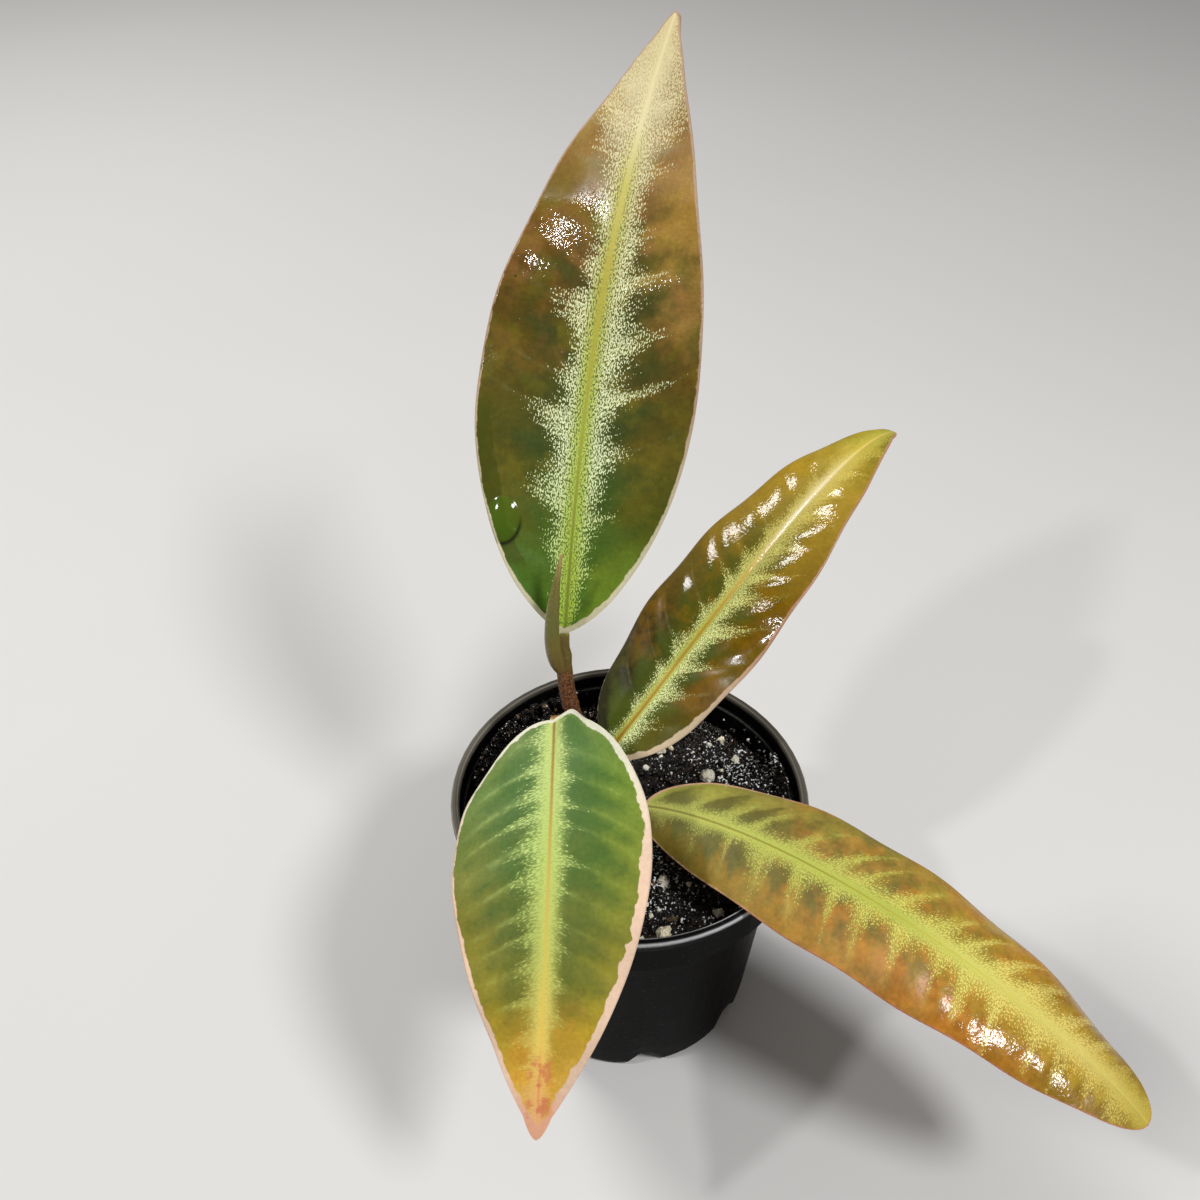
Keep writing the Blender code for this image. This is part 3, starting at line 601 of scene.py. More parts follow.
SHARED_LOOK = {
    "vein_line": (0.5, 1.1, 0.0),
    "vein_grain": 0.3,
    "stalk_foot": srgb(92, 52, 30),
    "rib_core": 0.3,
    "streaks": 0.3,
    "mottle": 0.5,
    "frost": 0.0,
    "sides": (0.22, 0.72),
    "scallops": 1.2,
    "specular": 0.3,
    "waves": 0.06,
    "water": False,
}
LOOKS = {
    "leaf_tall": {
        "inner": (
            (0.0, 86, 122, 34), (0.12, 76, 104, 32), (0.3, 66, 78, 32), (0.5, 68, 68, 28), (0.62, 90, 76, 34),
            (0.72, 124, 102, 52), (0.8, 168, 148, 100), (0.88, 196, 180, 136), (1.0, 202, 188, 144),
        ),
        "right": (
            (0.0, 110, 140, 34), (0.1, 102, 124, 34), (0.2, 80, 86, 20), (0.32, 94, 84, 26),
            (0.45, 98, 76, 24), (0.56, 166, 130, 64), (0.72, 162, 126, 54), (0.88, 122, 92, 24),
            (1.0, 166, 140, 78),
        ),
        "left": (
            (0.0, 72, 112, 28), (0.12, 78, 106, 28), (0.22, 84, 88, 28), (0.3, 84, 82, 28),
            (0.45, 92, 76, 22), (0.58, 88, 62, 18), (0.7, 120, 90, 30), (0.8, 150, 122, 62),
            (0.92, 184, 164, 114), (1.0, 196, 178, 130),
        ),
        "blotches": (
            (srgb(124, 112, 30), 0.45, 0.2, 0.7), (srgb(140, 98, 52), 0.5, 0.45, 0.78),
            (srgb(66, 74, 26), 0.5, 0.3, 0.62),
        ),
        "near": (
            (0.0, 166, 190, 60), (0.3, 186, 204, 90), (0.55, 180, 184, 78), (0.72, 198, 196, 112),
            (0.82, 224, 216, 168), (0.92, 212, 200, 150), (1.0, 206, 190, 142),
        ),
        "far": (
            (0.0, 186, 214, 110), (0.14, 208, 226, 148), (0.28, 230, 240, 192), (0.6, 224, 226, 178),
            (0.8, 212, 200, 154), (1.0, 200, 184, 136),
        ),
        "band": (8.4, 23.0, 1.1, 0.58), "speck": (4.8, 0.08, 0.52),
        "band_taper": (
            (0.0, 0.18), (0.05, 0.34), (0.12, 0.5), (0.28, 0.8), (0.45, 0.82), (0.57, 0.76), (0.66, 0.68),
            (0.73, 0.66), (0.79, 1.0), (0.86, 1.8), (1.0, 2.8),
        ),
        "grain": 1.6, "core": 0.8, "rib_strength": 0.8,
        "rib": (
            (0.0, 98, 106, 36), (0.15, 116, 124, 38), (0.35, 158, 156, 50), (0.6, 180, 164, 58),
            (0.72, 200, 190, 98), (0.82, 226, 214, 168), (1.0, 222, 206, 160),
        ),
        "rib_width": (
            (0.0, 0.75), (0.15, 0.55), (0.35, 0.7), (0.55, 1.2), (0.68, 1.3), (0.8, 0.8), (1.0, 0.5),
        ),
        "rib_core": 0.2, "stalk": (srgb(96, 82, 42), srgb(136, 114, 62)), "stalk_foot": srgb(106, 86, 44),
        "vein_light": 0.03, "margin": srgb(176, 146, 120), "margin_base": srgb(204, 196, 160),
        "margin_right": ((0.0, 1.5), (0.1, 1.1), (0.22, 0.8), (0.5, 0.6), (1.0, 0.5)),
        "margin_left": ((0.0, 1.4), (0.1, 0.8), (0.25, 0.6), (0.5, 0.5), (1.0, 0.45)),
        "gloss": ((0.0, 0.3), (0.3, 0.2), (0.5, 0.07), (0.68, 0.07), (0.74, 0.5), (1.0, 0.55)),
        "streaks": 0.8, "tongues": 0.9, "glow": 0.22,
        "lean": (
            (0.0, -0.12), (0.15, -0.1), (0.34, -0.02), (0.44, 0.28), (0.6, 0.24), (0.72, 0.0), (1.0, 0.0),
        ),
        "pebble": ((0.0, 0.03), (0.4, 0.04), (0.5, 0.08), (0.7, 0.08), (0.76, 0.03), (1.0, 0.02)),
        "rays": (0.2, 0.1), "dull_rib": 0.45, "scallops": 1.4, "vein_grain": 0.12, "water": True,
    },
    "leaf_front": {
        "inner": (
            (0.0, 84, 116, 56), (0.2, 68, 102, 38), (0.42, 76, 102, 40), (0.58, 88, 100, 40),
            (0.7, 108, 112, 42), (0.8, 172, 142, 46), (0.9, 222, 170, 66), (1.0, 236, 190, 140),
        ),
        "right": (
            (0.0, 114, 134, 70), (0.2, 102, 126, 60), (0.4, 106, 118, 52), (0.55, 124, 120, 44),
            (0.7, 140, 132, 44), (0.8, 180, 152, 48), (0.93, 216, 172, 66), (1.0, 232, 188, 144),
        ),
        "left": (
            (0.0, 104, 132, 62), (0.2, 110, 134, 50), (0.42, 120, 134, 46), (0.56, 126, 126, 42),
            (0.7, 150, 138, 40), (0.8, 194, 158, 46), (0.92, 226, 178, 88), (1.0, 236, 194, 150),
        ),
        "blotches": ((srgb(206, 142, 46), 0.35, 0.73, 0.93), (srgb(132, 128, 44), 0.25, 0.35, 0.7)),
        "blush": (srgb(204, 104, 76), 0.82, 0.95, 3.6),
        "near": (
            (0.0, 188, 200, 118), (0.2, 182, 198, 114), (0.35, 176, 194, 102), (0.6, 186, 190, 94),
            (0.8, 226, 196, 98), (0.92, 232, 178, 108), (1.0, 232, 184, 134),
        ),
        "far": (
            (0.0, 184, 204, 128), (0.4, 174, 196, 112), (0.6, 160, 176, 92), (0.75, 176, 178, 86),
            (0.85, 218, 188, 88), (1.0, 232, 184, 130),
        ),
        "band": (4.0, 10.0, 0.8, 0.68), "speck": (2.8, 0.28, 2.6),
        "band_taper": ((0.0, 0.8), (0.12, 1.25), (0.35, 1.35), (0.65, 1.1), (0.8, 0.7), (1.0, 0.3)),
        "grain": 2.8, "core": 2.1, "rib_strength": 0.9,
        "rib": (
            (0.0, 130, 92, 38), (0.2, 160, 126, 58), (0.4, 186, 162, 86), (0.65, 204, 186, 84),
            (0.8, 226, 190, 84), (0.88, 222, 140, 84), (1.0, 234, 184, 140),
        ),
        "rib_width": ((0.0, 0.6), (0.3, 0.62), (0.5, 0.7), (1.0, 0.3)), "rib_core": 0.15,
        "stalk": (srgb(104, 68, 34), srgb(158, 112, 62)), "vein_light": 0.2, "vein_line": (0.75, 2.4, 0.5),
        "margin": srgb(224, 192, 166), "margin_tip": srgb(224, 160, 126), "margin_base": srgb(214, 212, 190),
        "margin_right": (
            (0.0, 1.2), (0.12, 0.7), (0.4, 0.45), (0.55, 0.9), (0.8, 1.2), (0.94, 1.4), (1.0, 2.2),
        ),
        "margin_left": ((0.0, 1.5), (0.1, 1.3), (0.3, 1.9), (0.55, 2.6), (0.8, 1.9), (0.94, 1.5), (1.0, 2.0)),
        "gloss": ((0.0, 0.5), (0.5, 0.5), (1.0, 0.45)), "streaks": 0.15, "tongues": 0.5, "glow": 0.45,
        "lean": ((0.0, 0.22), (1.0, 0.22)), "specular": 0.14, "pebble": ((0.0, 0.02), (1.0, 0.02)),
        "waves": 0.05, "mottle": 0.3, "rays": (0.2, 0.3), "dull_rib": 0.1, "scallops": 1.7,
        "sides": (0.36, 0.92),
    },
    "leaf_back": {
        "inner": (
            (0.0, 78, 92, 20), (0.25, 72, 82, 22), (0.45, 86, 86, 28), (0.6, 118, 106, 40),
            (0.72, 162, 138, 54), (0.85, 186, 164, 66), (0.94, 170, 160, 56), (1.0, 158, 156, 52),
        ),
        "right": (
            (0.0, 84, 90, 18), (0.12, 90, 80, 6), (0.2, 98, 72, 0), (0.34, 104, 74, 0), (0.46, 114, 86, 10),
            (0.6, 146, 118, 34), (0.75, 158, 130, 42), (0.88, 134, 118, 32), (1.0, 128, 124, 34),
        ),
        "left": (
            (0.0, 38, 42, 6), (0.15, 40, 36, 4), (0.3, 68, 54, 12), (0.45, 114, 92, 26), (0.6, 152, 124, 36),
            (0.75, 172, 140, 36), (0.9, 170, 150, 42), (1.0, 156, 148, 44),
        ),
        "blotches": ((srgb(160, 112, 12), 0.35, 0.15, 0.5), (srgb(84, 88, 26), 0.35, 0.0, 0.45)),
        "near": (
            (0.0, 184, 186, 78), (0.3, 190, 194, 88), (0.6, 212, 200, 116), (0.75, 228, 212, 148),
            (0.88, 190, 174, 72), (1.0, 160, 156, 54),
        ),
        "far": (
            (0.0, 226, 238, 178), (0.3, 220, 228, 158), (0.5, 210, 210, 122), (0.65, 202, 188, 92),
            (0.8, 200, 180, 78), (1.0, 160, 154, 52),
        ),
        "band": (4.4, 12.0, 1.0, 0.6), "speck": (4.8, 0.1, 0.6),
        "band_taper": ((0.0, 0.74), (0.25, 1.0), (0.5, 1.02), (0.75, 0.95), (1.0, 0.4)), "grain": 2.0,
        "core": 1.3, "rib_strength": 0.85,
        "rib": (
            # the near-white stops at 0.66 and 0.76 are a highlight along the midrib, painted into its colour
            (0.0, 140, 88, 20), (0.35, 180, 140, 44), (0.5, 206, 172, 84), (0.66, 244, 232, 196),
            (0.76, 240, 226, 180), (0.88, 214, 188, 100), (1.0, 196, 172, 78),
        ),
        "rib_width": ((0.0, 0.8), (0.45, 0.8), (0.6, 1.0), (0.8, 0.8), (1.0, 0.36)),
        "stalk": (srgb(96, 62, 30), srgb(150, 104, 52)), "vein_light": 0.1, "margin": srgb(172, 126, 96),
        "margin_base": srgb(208, 188, 156),
        "margin_right": ((0.0, 1.4), (0.15, 1.6), (0.35, 0.9), (0.6, 0.5), (1.0, 0.5)),
        "margin_left": ((0.0, 0.1), (0.5, 0.05), (1.0, 0.1)),
        "gloss": ((0.0, 0.4), (0.24, 0.34), (0.36, 0.09), (0.85, 0.08), (1.0, 0.3)), "tongues": 0.6,
        "glow": 0.4, "lean": ((0.0, 0.34), (1.0, 0.34)),
        "pebble": ((0.0, 0.02), (0.36, 0.02), (0.5, 0.08), (0.85, 0.08), (1.0, 0.04)), "frost": 0.04,
        "rays": (0.2, 0.25), "dull_rib": 0.0,
    },
    "leaf_low": {
        "inner": (
            (0.0, 116, 116, 38), (0.2, 102, 96, 38), (0.4, 112, 98, 40), (0.55, 134, 112, 42),
            (0.7, 164, 128, 44), (0.85, 168, 136, 44), (1.0, 176, 156, 56),
        ),
        "right": (
            (0.0, 124, 112, 36), (0.14, 128, 108, 36), (0.3, 154, 122, 40), (0.45, 156, 114, 38),
            (0.56, 152, 98, 28), (0.72, 154, 102, 28), (0.84, 142, 108, 30), (0.94, 134, 104, 28),
            (1.0, 168, 144, 46),
        ),
        "left": (
            (0.0, 160, 162, 64), (0.12, 154, 150, 64), (0.25, 144, 132, 56), (0.4, 140, 122, 44),
            (0.55, 156, 132, 46), (0.7, 166, 130, 34), (0.82, 146, 108, 20), (0.92, 144, 114, 30),
            (1.0, 168, 148, 50),
        ),
        "blotches": (
            (srgb(192, 122, 40), 0.45, 0.28, 0.75), (srgb(104, 104, 44), 0.35, 0.05, 0.62),
            (srgb(198, 140, 60), 0.4, 0.3, 0.8),
        ),
        "near": (
            (0.0, 204, 206, 108), (0.14, 186, 190, 92), (0.3, 174, 180, 80), (0.5, 172, 178, 74),
            (0.65, 202, 198, 98), (0.85, 208, 192, 104), (1.0, 182, 162, 64),
        ),
        "far": (
            (0.0, 166, 172, 76), (0.3, 176, 178, 84), (0.5, 200, 196, 92), (0.7, 218, 206, 108),
            (0.85, 218, 194, 104), (1.0, 184, 164, 58),
        ),
        "band": (5.2, 19.0, 0.75, 0.72), "speck": (3.4, 0.12, 2.0),
        "band_taper": (
            (0.0, 0.4), (0.12, 0.6), (0.22, 0.72), (0.38, 1.0), (0.75, 1.25), (0.9, 1.1), (1.0, 0.8),
        ),
        "grain": 3.5, "core": 1.8, "rib_strength": 0.7,
        "rib": (
            (0.0, 112, 100, 36), (0.35, 132, 122, 34), (0.55, 178, 168, 56), (0.8, 214, 198, 96),
            (1.0, 206, 190, 84),
        ),
        "rib_width": ((0.0, 0.5), (0.5, 0.35), (1.0, 0.2)), "stalk": (srgb(96, 70, 30), srgb(140, 112, 50)),
        "vein_light": 0.34, "vein_line": (0.9, 2.6, -0.1), "margin": srgb(190, 116, 88),
        "margin_base": srgb(206, 164, 130),
        "margin_right": ((0.0, 0.35), (0.2, 0.4), (0.8, 0.35), (1.0, 0.2)),
        "margin_left": ((0.0, 0.9), (0.15, 0.8), (0.3, 0.4), (0.5, 0.2), (1.0, 0.15)),
        "gloss": ((0.0, 0.55), (0.5, 0.55), (0.6, 0.3), (0.66, 0.12), (0.86, 0.12), (0.93, 0.4), (1.0, 0.5)),
        "tongues": 1.1, "glow": 0.45, "lean": ((0.0, -0.04), (1.0, -0.04)), "specular": 0.32,
        "pebble": ((0.0, 0.04), (0.6, 0.05), (0.72, 0.07), (0.85, 0.07), (1.0, 0.04)), "waves": 0.14,
        "mottle": 1.0, "frost": 0.04, "rays": (0.2, 0.4), "dull_rib": 0.2, "sides": (0.3, 0.66),
        "vein_grain": 0.4,
    },
}

UNDER_TONES = ((0.0, 128, 132, 78), (0.4, 142, 122, 78), (0.75, 156, 112, 74), (1.0, 186, 150, 96))
UNDER_RIB_TONES = ((0.0, 124, 74, 48), (0.5, 158, 120, 66), (1.0, 190, 160, 92))
UNDER_VEIN = srgb(178, 132, 92)

# Water on the leaf: the drop's place along and across the blade, its size in mm, and the colours, with
# painted shade for the drop's lower rim and for the beads, and a painted highlight in each bead

DROP_RUN = 25.5
DROP_ACROSS = -16.5
DROP_HALF_LENGTH = 5.5
DROP_HALF_WIDTH = 4.2
DROP_HEIGHT = 1.4
DROP_TONE = srgb(72, 106, 16)
DROP_RIM_SHADE = srgb(24, 32, 6)
WET_TONE = srgb(66, 72, 12)
BEAD_SHADE = srgb(34, 34, 12)
BEAD_HIGHLIGHT = srgb(232, 234, 226)


class BladePoint:
    """What a leaf's material knows about a point of the blade, with the noises that several parts share."""

    def __init__(self, paint, name):
        self.paint = paint
        self.spot = paint.attribute("spot")
        self.across, self.run, _ = paint.split(self.spot)
        self.share, self.out, self.edge = paint.split(paint.attribute("form"))
        self.phase, self.origin, _ = paint.split(paint.attribute("vein"))
        self.vein = paint.math("ROUND", self.phase)
        self.vein_gap = (self.phase - self.vein).abs()
        self.vein_spacing = VEINS[name][0]
        self.reach = self.across.abs()

    @cached_property
    def side(self):
        """1 on the right of the midrib and -1 on its left."""
        return self.paint.math("SIGN", self.across)

    @cached_property
    def is_right(self):
        return self.paint.above(self.out, 0.0)

    @cached_property
    def ragged(self):
        return self.paint.noise(self.spot, 0.8, 3.0, 0.6)

    @cached_property
    def fine(self):
        return self.paint.noise(self.spot, 1.6, 3.0, 0.6)

    @cached_property
    def cloud(self):
        return self.paint.noise(self.spot, 0.16, 2.0) - 0.5


def leaf_ground(paint, look, at):
    """The colour between the markings: by place along the blade and across it, with soft blotches."""
    soft = paint.noise(at.spot, 0.09, 3.0, 0.55)
    shifted = at.share + (soft - 0.5) * 0.16
    outer = paint.mix(at.is_right, paint.tones(shifted, look["left"]), paint.tones(shifted, look["right"]))
    mottle = paint.noise(at.spot, 0.22, 4.0, 0.6)
    wide = at.out.abs() + (mottle - 0.5) * 0.5 - (at.vein_gap - 0.25) * look["tongues"]
    ground = paint.mix(paint.rise(wide, *look["sides"]), paint.tones(shifted, look["inner"]), outer)
    for index, (colour, strength, low, high) in enumerate(look["blotches"]):
        cloud = paint.noise(paint.moved(at.spot, index * 47.0), 0.1, 3.0, 0.6)
        window = paint.window(at.share, low - 0.08, low + 0.08, high - 0.02, high + 0.08)
        ground = paint.mix(paint.rise(cloud, 0.46, 0.64) * window * strength, ground, colour)
    fine = paint.noise(at.spot, 1.1, 4.0, 0.65)
    net = paint.cells(at.spot, 0.55, "DISTANCE_TO_EDGE")
    streaks = paint.noise(paint.join(at.across * 2.6, at.run * 0.16), 1.0, 3.0, 0.6) - 0.5
    streaks = streaks * paint.rise(at.share, 0.66, 0.84) * look["streaks"]
    shade = 0.94 + (fine - 0.5) * 0.5 + paint.rise(net, 0.0, 0.3) * 0.06 + (mottle - 0.5) * look["mottle"]
    return paint.scaled(ground, shade + streaks)


def leaf_veins(paint, look, at, colour):
    """Pale lateral veins over the colour, and the places of their lines."""
    width, ragged, more_right = look["vein_line"]
    line = paint.bell(at.vein_gap * at.vein_spacing + (at.ragged - 0.5) * ragged, width)
    line = line * paint.rise(at.edge, 0.5, 6.0) * paint.rise(paint.noise(at.spot, 0.28, 3.0), 0.3, 0.7)
    lined = line * look["vein_light"] * (1.0 + at.side * more_right)
    return paint.mix(lined, colour, paint.tones(at.share, look["far"])), line


def leaf_band(paint, look, at, colour, line):
    """The pale band along the midrib."""
    dense, feather, fullness, cover = look["band"]
    contrast, softness, drawn = look["speck"]
    near = paint.tones(at.share, look["near"])
    far = paint.tones(at.share, look["far"])

    # how deep in the band a point lies: 1 at the midrib and 0 at the band's feathered side
    taper = paint.curve(at.share, look["band_taper"])
    luck = paint.chance(paint.join(at.vein, at.side, 0.5))
    lanes = paint.join(at.origin * 0.9, at.reach * 0.16, at.side * 7.0)
    streak = (paint.noise(lanes, 1.0, 3.0, 0.6) - 0.5) * 2.2 + 0.5
    ray_width, ray_least = look["rays"]
    ray = paint.bell(at.vein_gap + (at.ragged - 0.5) * 0.22 + at.cloud * 0.3, ray_width)
    ray = ray * (ray_least + luck * (1.0 - ray_least))
    limit = (streak * 0.6 + 0.7 + at.cloud * 0.8) * dense + ray * (feather - dense) * (0.35 + streak * 0.9)
    lean = 1.0 + at.side * paint.curve(at.share, look["lean"], 1.0)
    depth = 1.0 - at.reach / (limit * taper * lean)

    # a glow, and grains or fibres that feather out along the veins
    glow = paint.rise(depth + (at.fine - 0.5) * 0.5, -0.1, 0.8) * look["glow"]
    colour = paint.mix(glow, colour, paint.scaled(near, 0.85))
    amount = paint.least(depth * fullness, depth * 2.4)
    amount = paint.least(paint.most(amount, line * (look["vein_grain"] + 1.0) - 1.3), cover)
    size = look["grain"]
    threads = paint.join(at.origin * size, at.reach * (size / drawn), at.side * 5.0)
    grain = (paint.noise(threads, 1.0, 1.0, 0.5) - 0.5) * contrast + 0.5
    speck = paint.rise(grain + amount, 1.0 - softness, 1.0 + softness)
    tone = paint.mix(paint.rise(at.reach, dense * 0.08, dense * 0.5), near, far)
    colour = paint.mix(speck, colour, paint.scaled(tone, 0.85 + paint.noise(at.spot, 2.6, 2.0) * 0.3))

    # a continuous stripe on both sides of the midrib
    core = paint.bell(at.reach / (look["core"] * (0.5 + taper * 0.5)), 1.0)
    return paint.mix(core * (0.3 + at.fine), colour, near)


def leaf_midrib(paint, look, at, colour):
    width = paint.curve(at.share, look["rib_width"])
    rib = paint.rise(at.reach + (at.ragged - 0.5) * 0.25, width, width * look["rib_core"])
    return paint.mix(rib * look["rib_strength"], colour, paint.tones(at.share, look["rib"]))


def leaf_margin(paint, look, at, colour):
    """The pale margin with its ragged inner side over the colour, and the margin's place."""
    right = paint.curve(at.share, look["margin_right"])
    left = paint.curve(at.share, look["margin_left"])
    width = left + (right - left) * at.is_right
    jagged = (paint.noise(at.spot, 0.26, 2.0) - 0.5) * width * look["scallops"] + (at.ragged - 0.5) * 0.5
    margin = paint.rise(width - at.edge + jagged, -0.12, 0.2)
    pale = paint.mix(paint.rise(at.share, 0.1, 0.45), look["margin_base"], look["margin"])
    if "margin_tip" in look:
        pale = paint.mix(paint.rise(at.share, 0.86, 0.97) * 0.8, pale, look["margin_tip"])
    pale = paint.scaled(pale, 0.85 + paint.noise(at.spot, 0.9, 3.0) * 0.3)
    return paint.mix(margin, colour, pale), margin


def leaf_blush(paint, look, at, colour):
    """A tint in spots beside the midrib."""
    tint, low, high, wide = look["blush"]
    near_rib = paint.rise(at.reach + (at.ragged - 0.5) * 3.0, wide, wide * 0.3)
    span = paint.window(at.share, low - 0.02, low + 0.02, high - 0.02, high + 0.02)
    spots = paint.rise(paint.noise(at.spot, 0.35, 3.0, 0.6), 0.46, 0.6)
    return paint.mix(near_rib * span * spots * 0.7, colour, tint)


def leaf_water(paint, at, colour, margin):
    """A wet strip along the left margin, a drop with painted shade along its lower rim, and beads painted as
    dark spots of shade with a white painted highlight in each.

    Gives the colour, where the drop is, and a point's distance from the drop's middle, with 1 at its rim.
    """
    blade = 1.0 - margin
    is_left = paint.math("LESS_THAN", at.out, 0.0)
    span = paint.window(at.share, 0.1, 0.12, 0.35, 0.38) * is_left
    soaked = paint.rise(at.edge + (paint.noise(at.spot, 0.13, 2.0) - 0.5) * 7.0, 4.6, 4.1) * span * blade
    colour = paint.mix(soaked * 0.65, colour, WET_TONE)
    down = (at.run - DROP_RUN) / DROP_HALF_LENGTH
    wide = (at.across - DROP_ACROSS) / DROP_HALF_WIDTH
    pool = (down * down + wide * wide) ** 0.5
    inside = paint.rise(pool, 1.0, 0.9) * blade
    # painted shade along the drop's lower rim
    rim = paint.bell(pool - 1.0, 0.1) * paint.rise(at.run, DROP_RUN + 2.5, DROP_RUN - 2.5) * blade
    colour = paint.mix(inside * 0.5, colour, DROP_TONE)
    colour = paint.mix(rim * 0.95, colour, DROP_RIM_SHADE)
    span = paint.window(at.share, 0.36, 0.44, 0.6, 0.68) * paint.rise(at.out, -0.3, -0.55)
    sparse = paint.rise(paint.noise(at.spot, 0.45, 1.0), 0.52, 0.47) + paint.rise(at.cloud, 0.1, -0.06)
    bead = paint.cells(at.spot, 0.6) + (1.0 - span) * 2.0 + sparse + inside
    # each bead: a dark spot of painted shade with a painted white highlight in its middle
    colour = paint.mix(paint.rise(bead, 0.3, 0.2) * 0.6, colour, BEAD_SHADE)
    return paint.mix(paint.rise(bead, 0.15, 0.1), colour, BEAD_HIGHLIGHT), inside, pool


def leaf_petiole(paint, look, at, colour):
    bark = paint.mix(paint.noise(at.spot, 1.2, 3.0, 0.6), *look["stalk"])
    bark = paint.mix(paint.rise(at.run, -3.0, -8.0) * 0.8, bark, look["stalk_foot"])
    return paint.mix(paint.rise(at.run + (at.ragged - 0.5) * 1.2, 0.6, -0.9), colour, bark)


def leaf_upper(name):
    """The marked and glossy upper face."""
    look = SHARED_LOOK | LOOKS[name]
    paint = Paint(name + "_upper")
    at = BladePoint(paint, name)
    colour, line = leaf_veins(paint, look, at, leaf_ground(paint, look, at))
    colour = leaf_band(paint, look, at, colour, line)
    colour = leaf_midrib(paint, look, at, colour)
    colour, margin = leaf_margin(paint, look, at, colour)
    if "blush" in look:
        colour = leaf_blush(paint, look, at, colour)
    pebble = paint.noise(at.spot, 1.3, 1.0) * paint.curve(at.share, look["pebble"], 1.0)
    height = pebble + paint.noise(at.spot, 0.3, 1.0) * look["waves"]
    film = paint.noise(at.spot, 0.11, 3.0, 0.6) - 0.5
    frost = paint.rise(paint.noise(at.spot, 0.75, 3.0, 0.6), 0.47, 0.56)
    dull = frost * look["frost"] + paint.bell(at.reach, 2.2) * look["dull_rib"]
    roughness = paint.curve(at.share, look["gloss"], 1.0) + film * 0.1 + margin * 0.2 + dull
    if look["water"]:
        colour, inside, pool = leaf_water(paint, at, colour, margin)
        height = height * (1.0 - inside) + paint.most(1.0 - pool * pool, 0.0) * DROP_HEIGHT
        dry = paint.rise(at.out, -0.5, -0.75) * paint.window(at.share, 0.66, 0.72, 0.84, 0.9)
        roughness = (roughness + dry * 0.5) * (1.0 - inside * 0.8)
    colour = leaf_petiole(paint, look, at, colour)
    return paint.surface(colour, paint.most(roughness, 0.08), height, specular=look["specular"], ior=1.48)


def leaf_under(name):
    """The paler and duller lower face, with its veins standing out."""
    paint = Paint(name + "_under")
    at = BladePoint(paint, name)
    soft = paint.noise(at.spot, 0.12, 3.0, 0.6)
    fine = paint.noise(at.spot, 1.4, 4.0, 0.65)
    colour = paint.scaled(paint.tones(at.share + (soft - 0.5) * 0.3, UNDER_TONES), 0.78 + fine * 0.44)
    line = paint.bell(at.vein_gap * at.vein_spacing, 0.4) * paint.rise(at.edge, 0.5, 5.0)
    colour = paint.mix(line * 0.5, colour, UNDER_VEIN)
    colour = paint.mix(paint.rise(at.reach, 1.9, 1.0), colour, paint.tones(at.share, UNDER_RIB_TONES))
    colour = paint.mix(paint.rise(at.edge, 0.6, 0.2), colour, LOOKS[name]["margin"])
    height = fine * 0.05 + paint.noise(at.spot, 0.5, 2.0) * 0.1
    return paint.surface(colour, 0.5 + (fine - 0.5) * 0.2, height, ior=1.45)


def build_leaf(name):
    show(leaf_mesh(name), name + "_blade", [leaf_upper(name), leaf_under(name)], name)


# Stem and furled leaf


STEM_ROWS = 190
SPEAR_ROWS = 120
BAR_SIDES = 40
STEM_TIP = 5.0  # how far its pointed tip runs on inside the tall leaf's petiole
SCARS = (0.5, 0.6, 0.67, 0.82)  # shares of the stem where old leaves have left a ridge
SCAR_HEIGHT = 0.14
SWELLING = 0.32  # at each petiole, in mm
TOP_SWELLING = 0.08  # at the petiole that goes on from the stem's top
BARK_LUMPS = 0.05
SEAM_ANGLE = 3.9  # where the furled leaf's free edge lies at its foot, in radians
SEAM_TWIST = 0.7

STEM_TONES = (
    (0.0, 66, 38, 26), (0.5, 68, 32, 20), (0.9, 70, 34, 20), (0.94, 90, 58, 32), (0.965, 108, 92, 44),
    (1.0, 110, 96, 46),
)
SPEAR_TONES = (
    (0.0, 108, 84, 42), (0.16, 112, 92, 44), (0.28, 116, 100, 44), (0.45, 104, 102, 38), (0.8, 116, 106, 46),
    (1.0, 176, 148, 92),
)


def circle(sides):
    """Angles of points that are evenly spread around a circle."""
    return np.linspace(0, 2 * math.pi, sides, endpoint=False)


def swept(places, radii, shape):
    """Points and faces of a closed bar. Shape is a factor of the radius by row and angle."""
    tangents = unit(np.gradient(places, axis=0))
    first = unit(np.cross(tangents, np.array([0.0, 1.0, 0.0])))[:, None, :]
    second = np.cross(tangents, first[:, 0, :])[:, None, :]
    angles = circle(BAR_SIDES)[None, :, None]
    ring = first * np.cos(angles) + second * np.sin(angles)
    points = places[:, None, :] + ring * (radii[:, None] * shape)[..., None]
    index = np.arange(len(places) * BAR_SIDES).reshape(-1, BAR_SIDES)
    following = np.roll(index, -1, axis=1)
    faces = np.stack([index[:-1], following[:-1], following[1:], index[1:]], -1).reshape(-1, 4).tolist()
    faces.append(index[0][::-1].tolist())
    faces.append(index[-1].tolist())
    return points.reshape(-1, 3), faces


def bar_mesh(name, places, radii, shape, *form):
    """A mesh of such a bar. Its form is what the material knows of each row, or of each point."""
    mesh = mesh_of(name, *swept(places, radii, shape))
    turner = bmesh.new()
    turner.from_mesh(mesh)
    bmesh.ops.recalc_face_normals(turner, faces=turner.faces)
    turner.to_mesh(mesh)
    turner.free()
    store(mesh, "form", np.stack([np.broadcast_to(part, shape.shape) for part in form], -1))
    return mesh


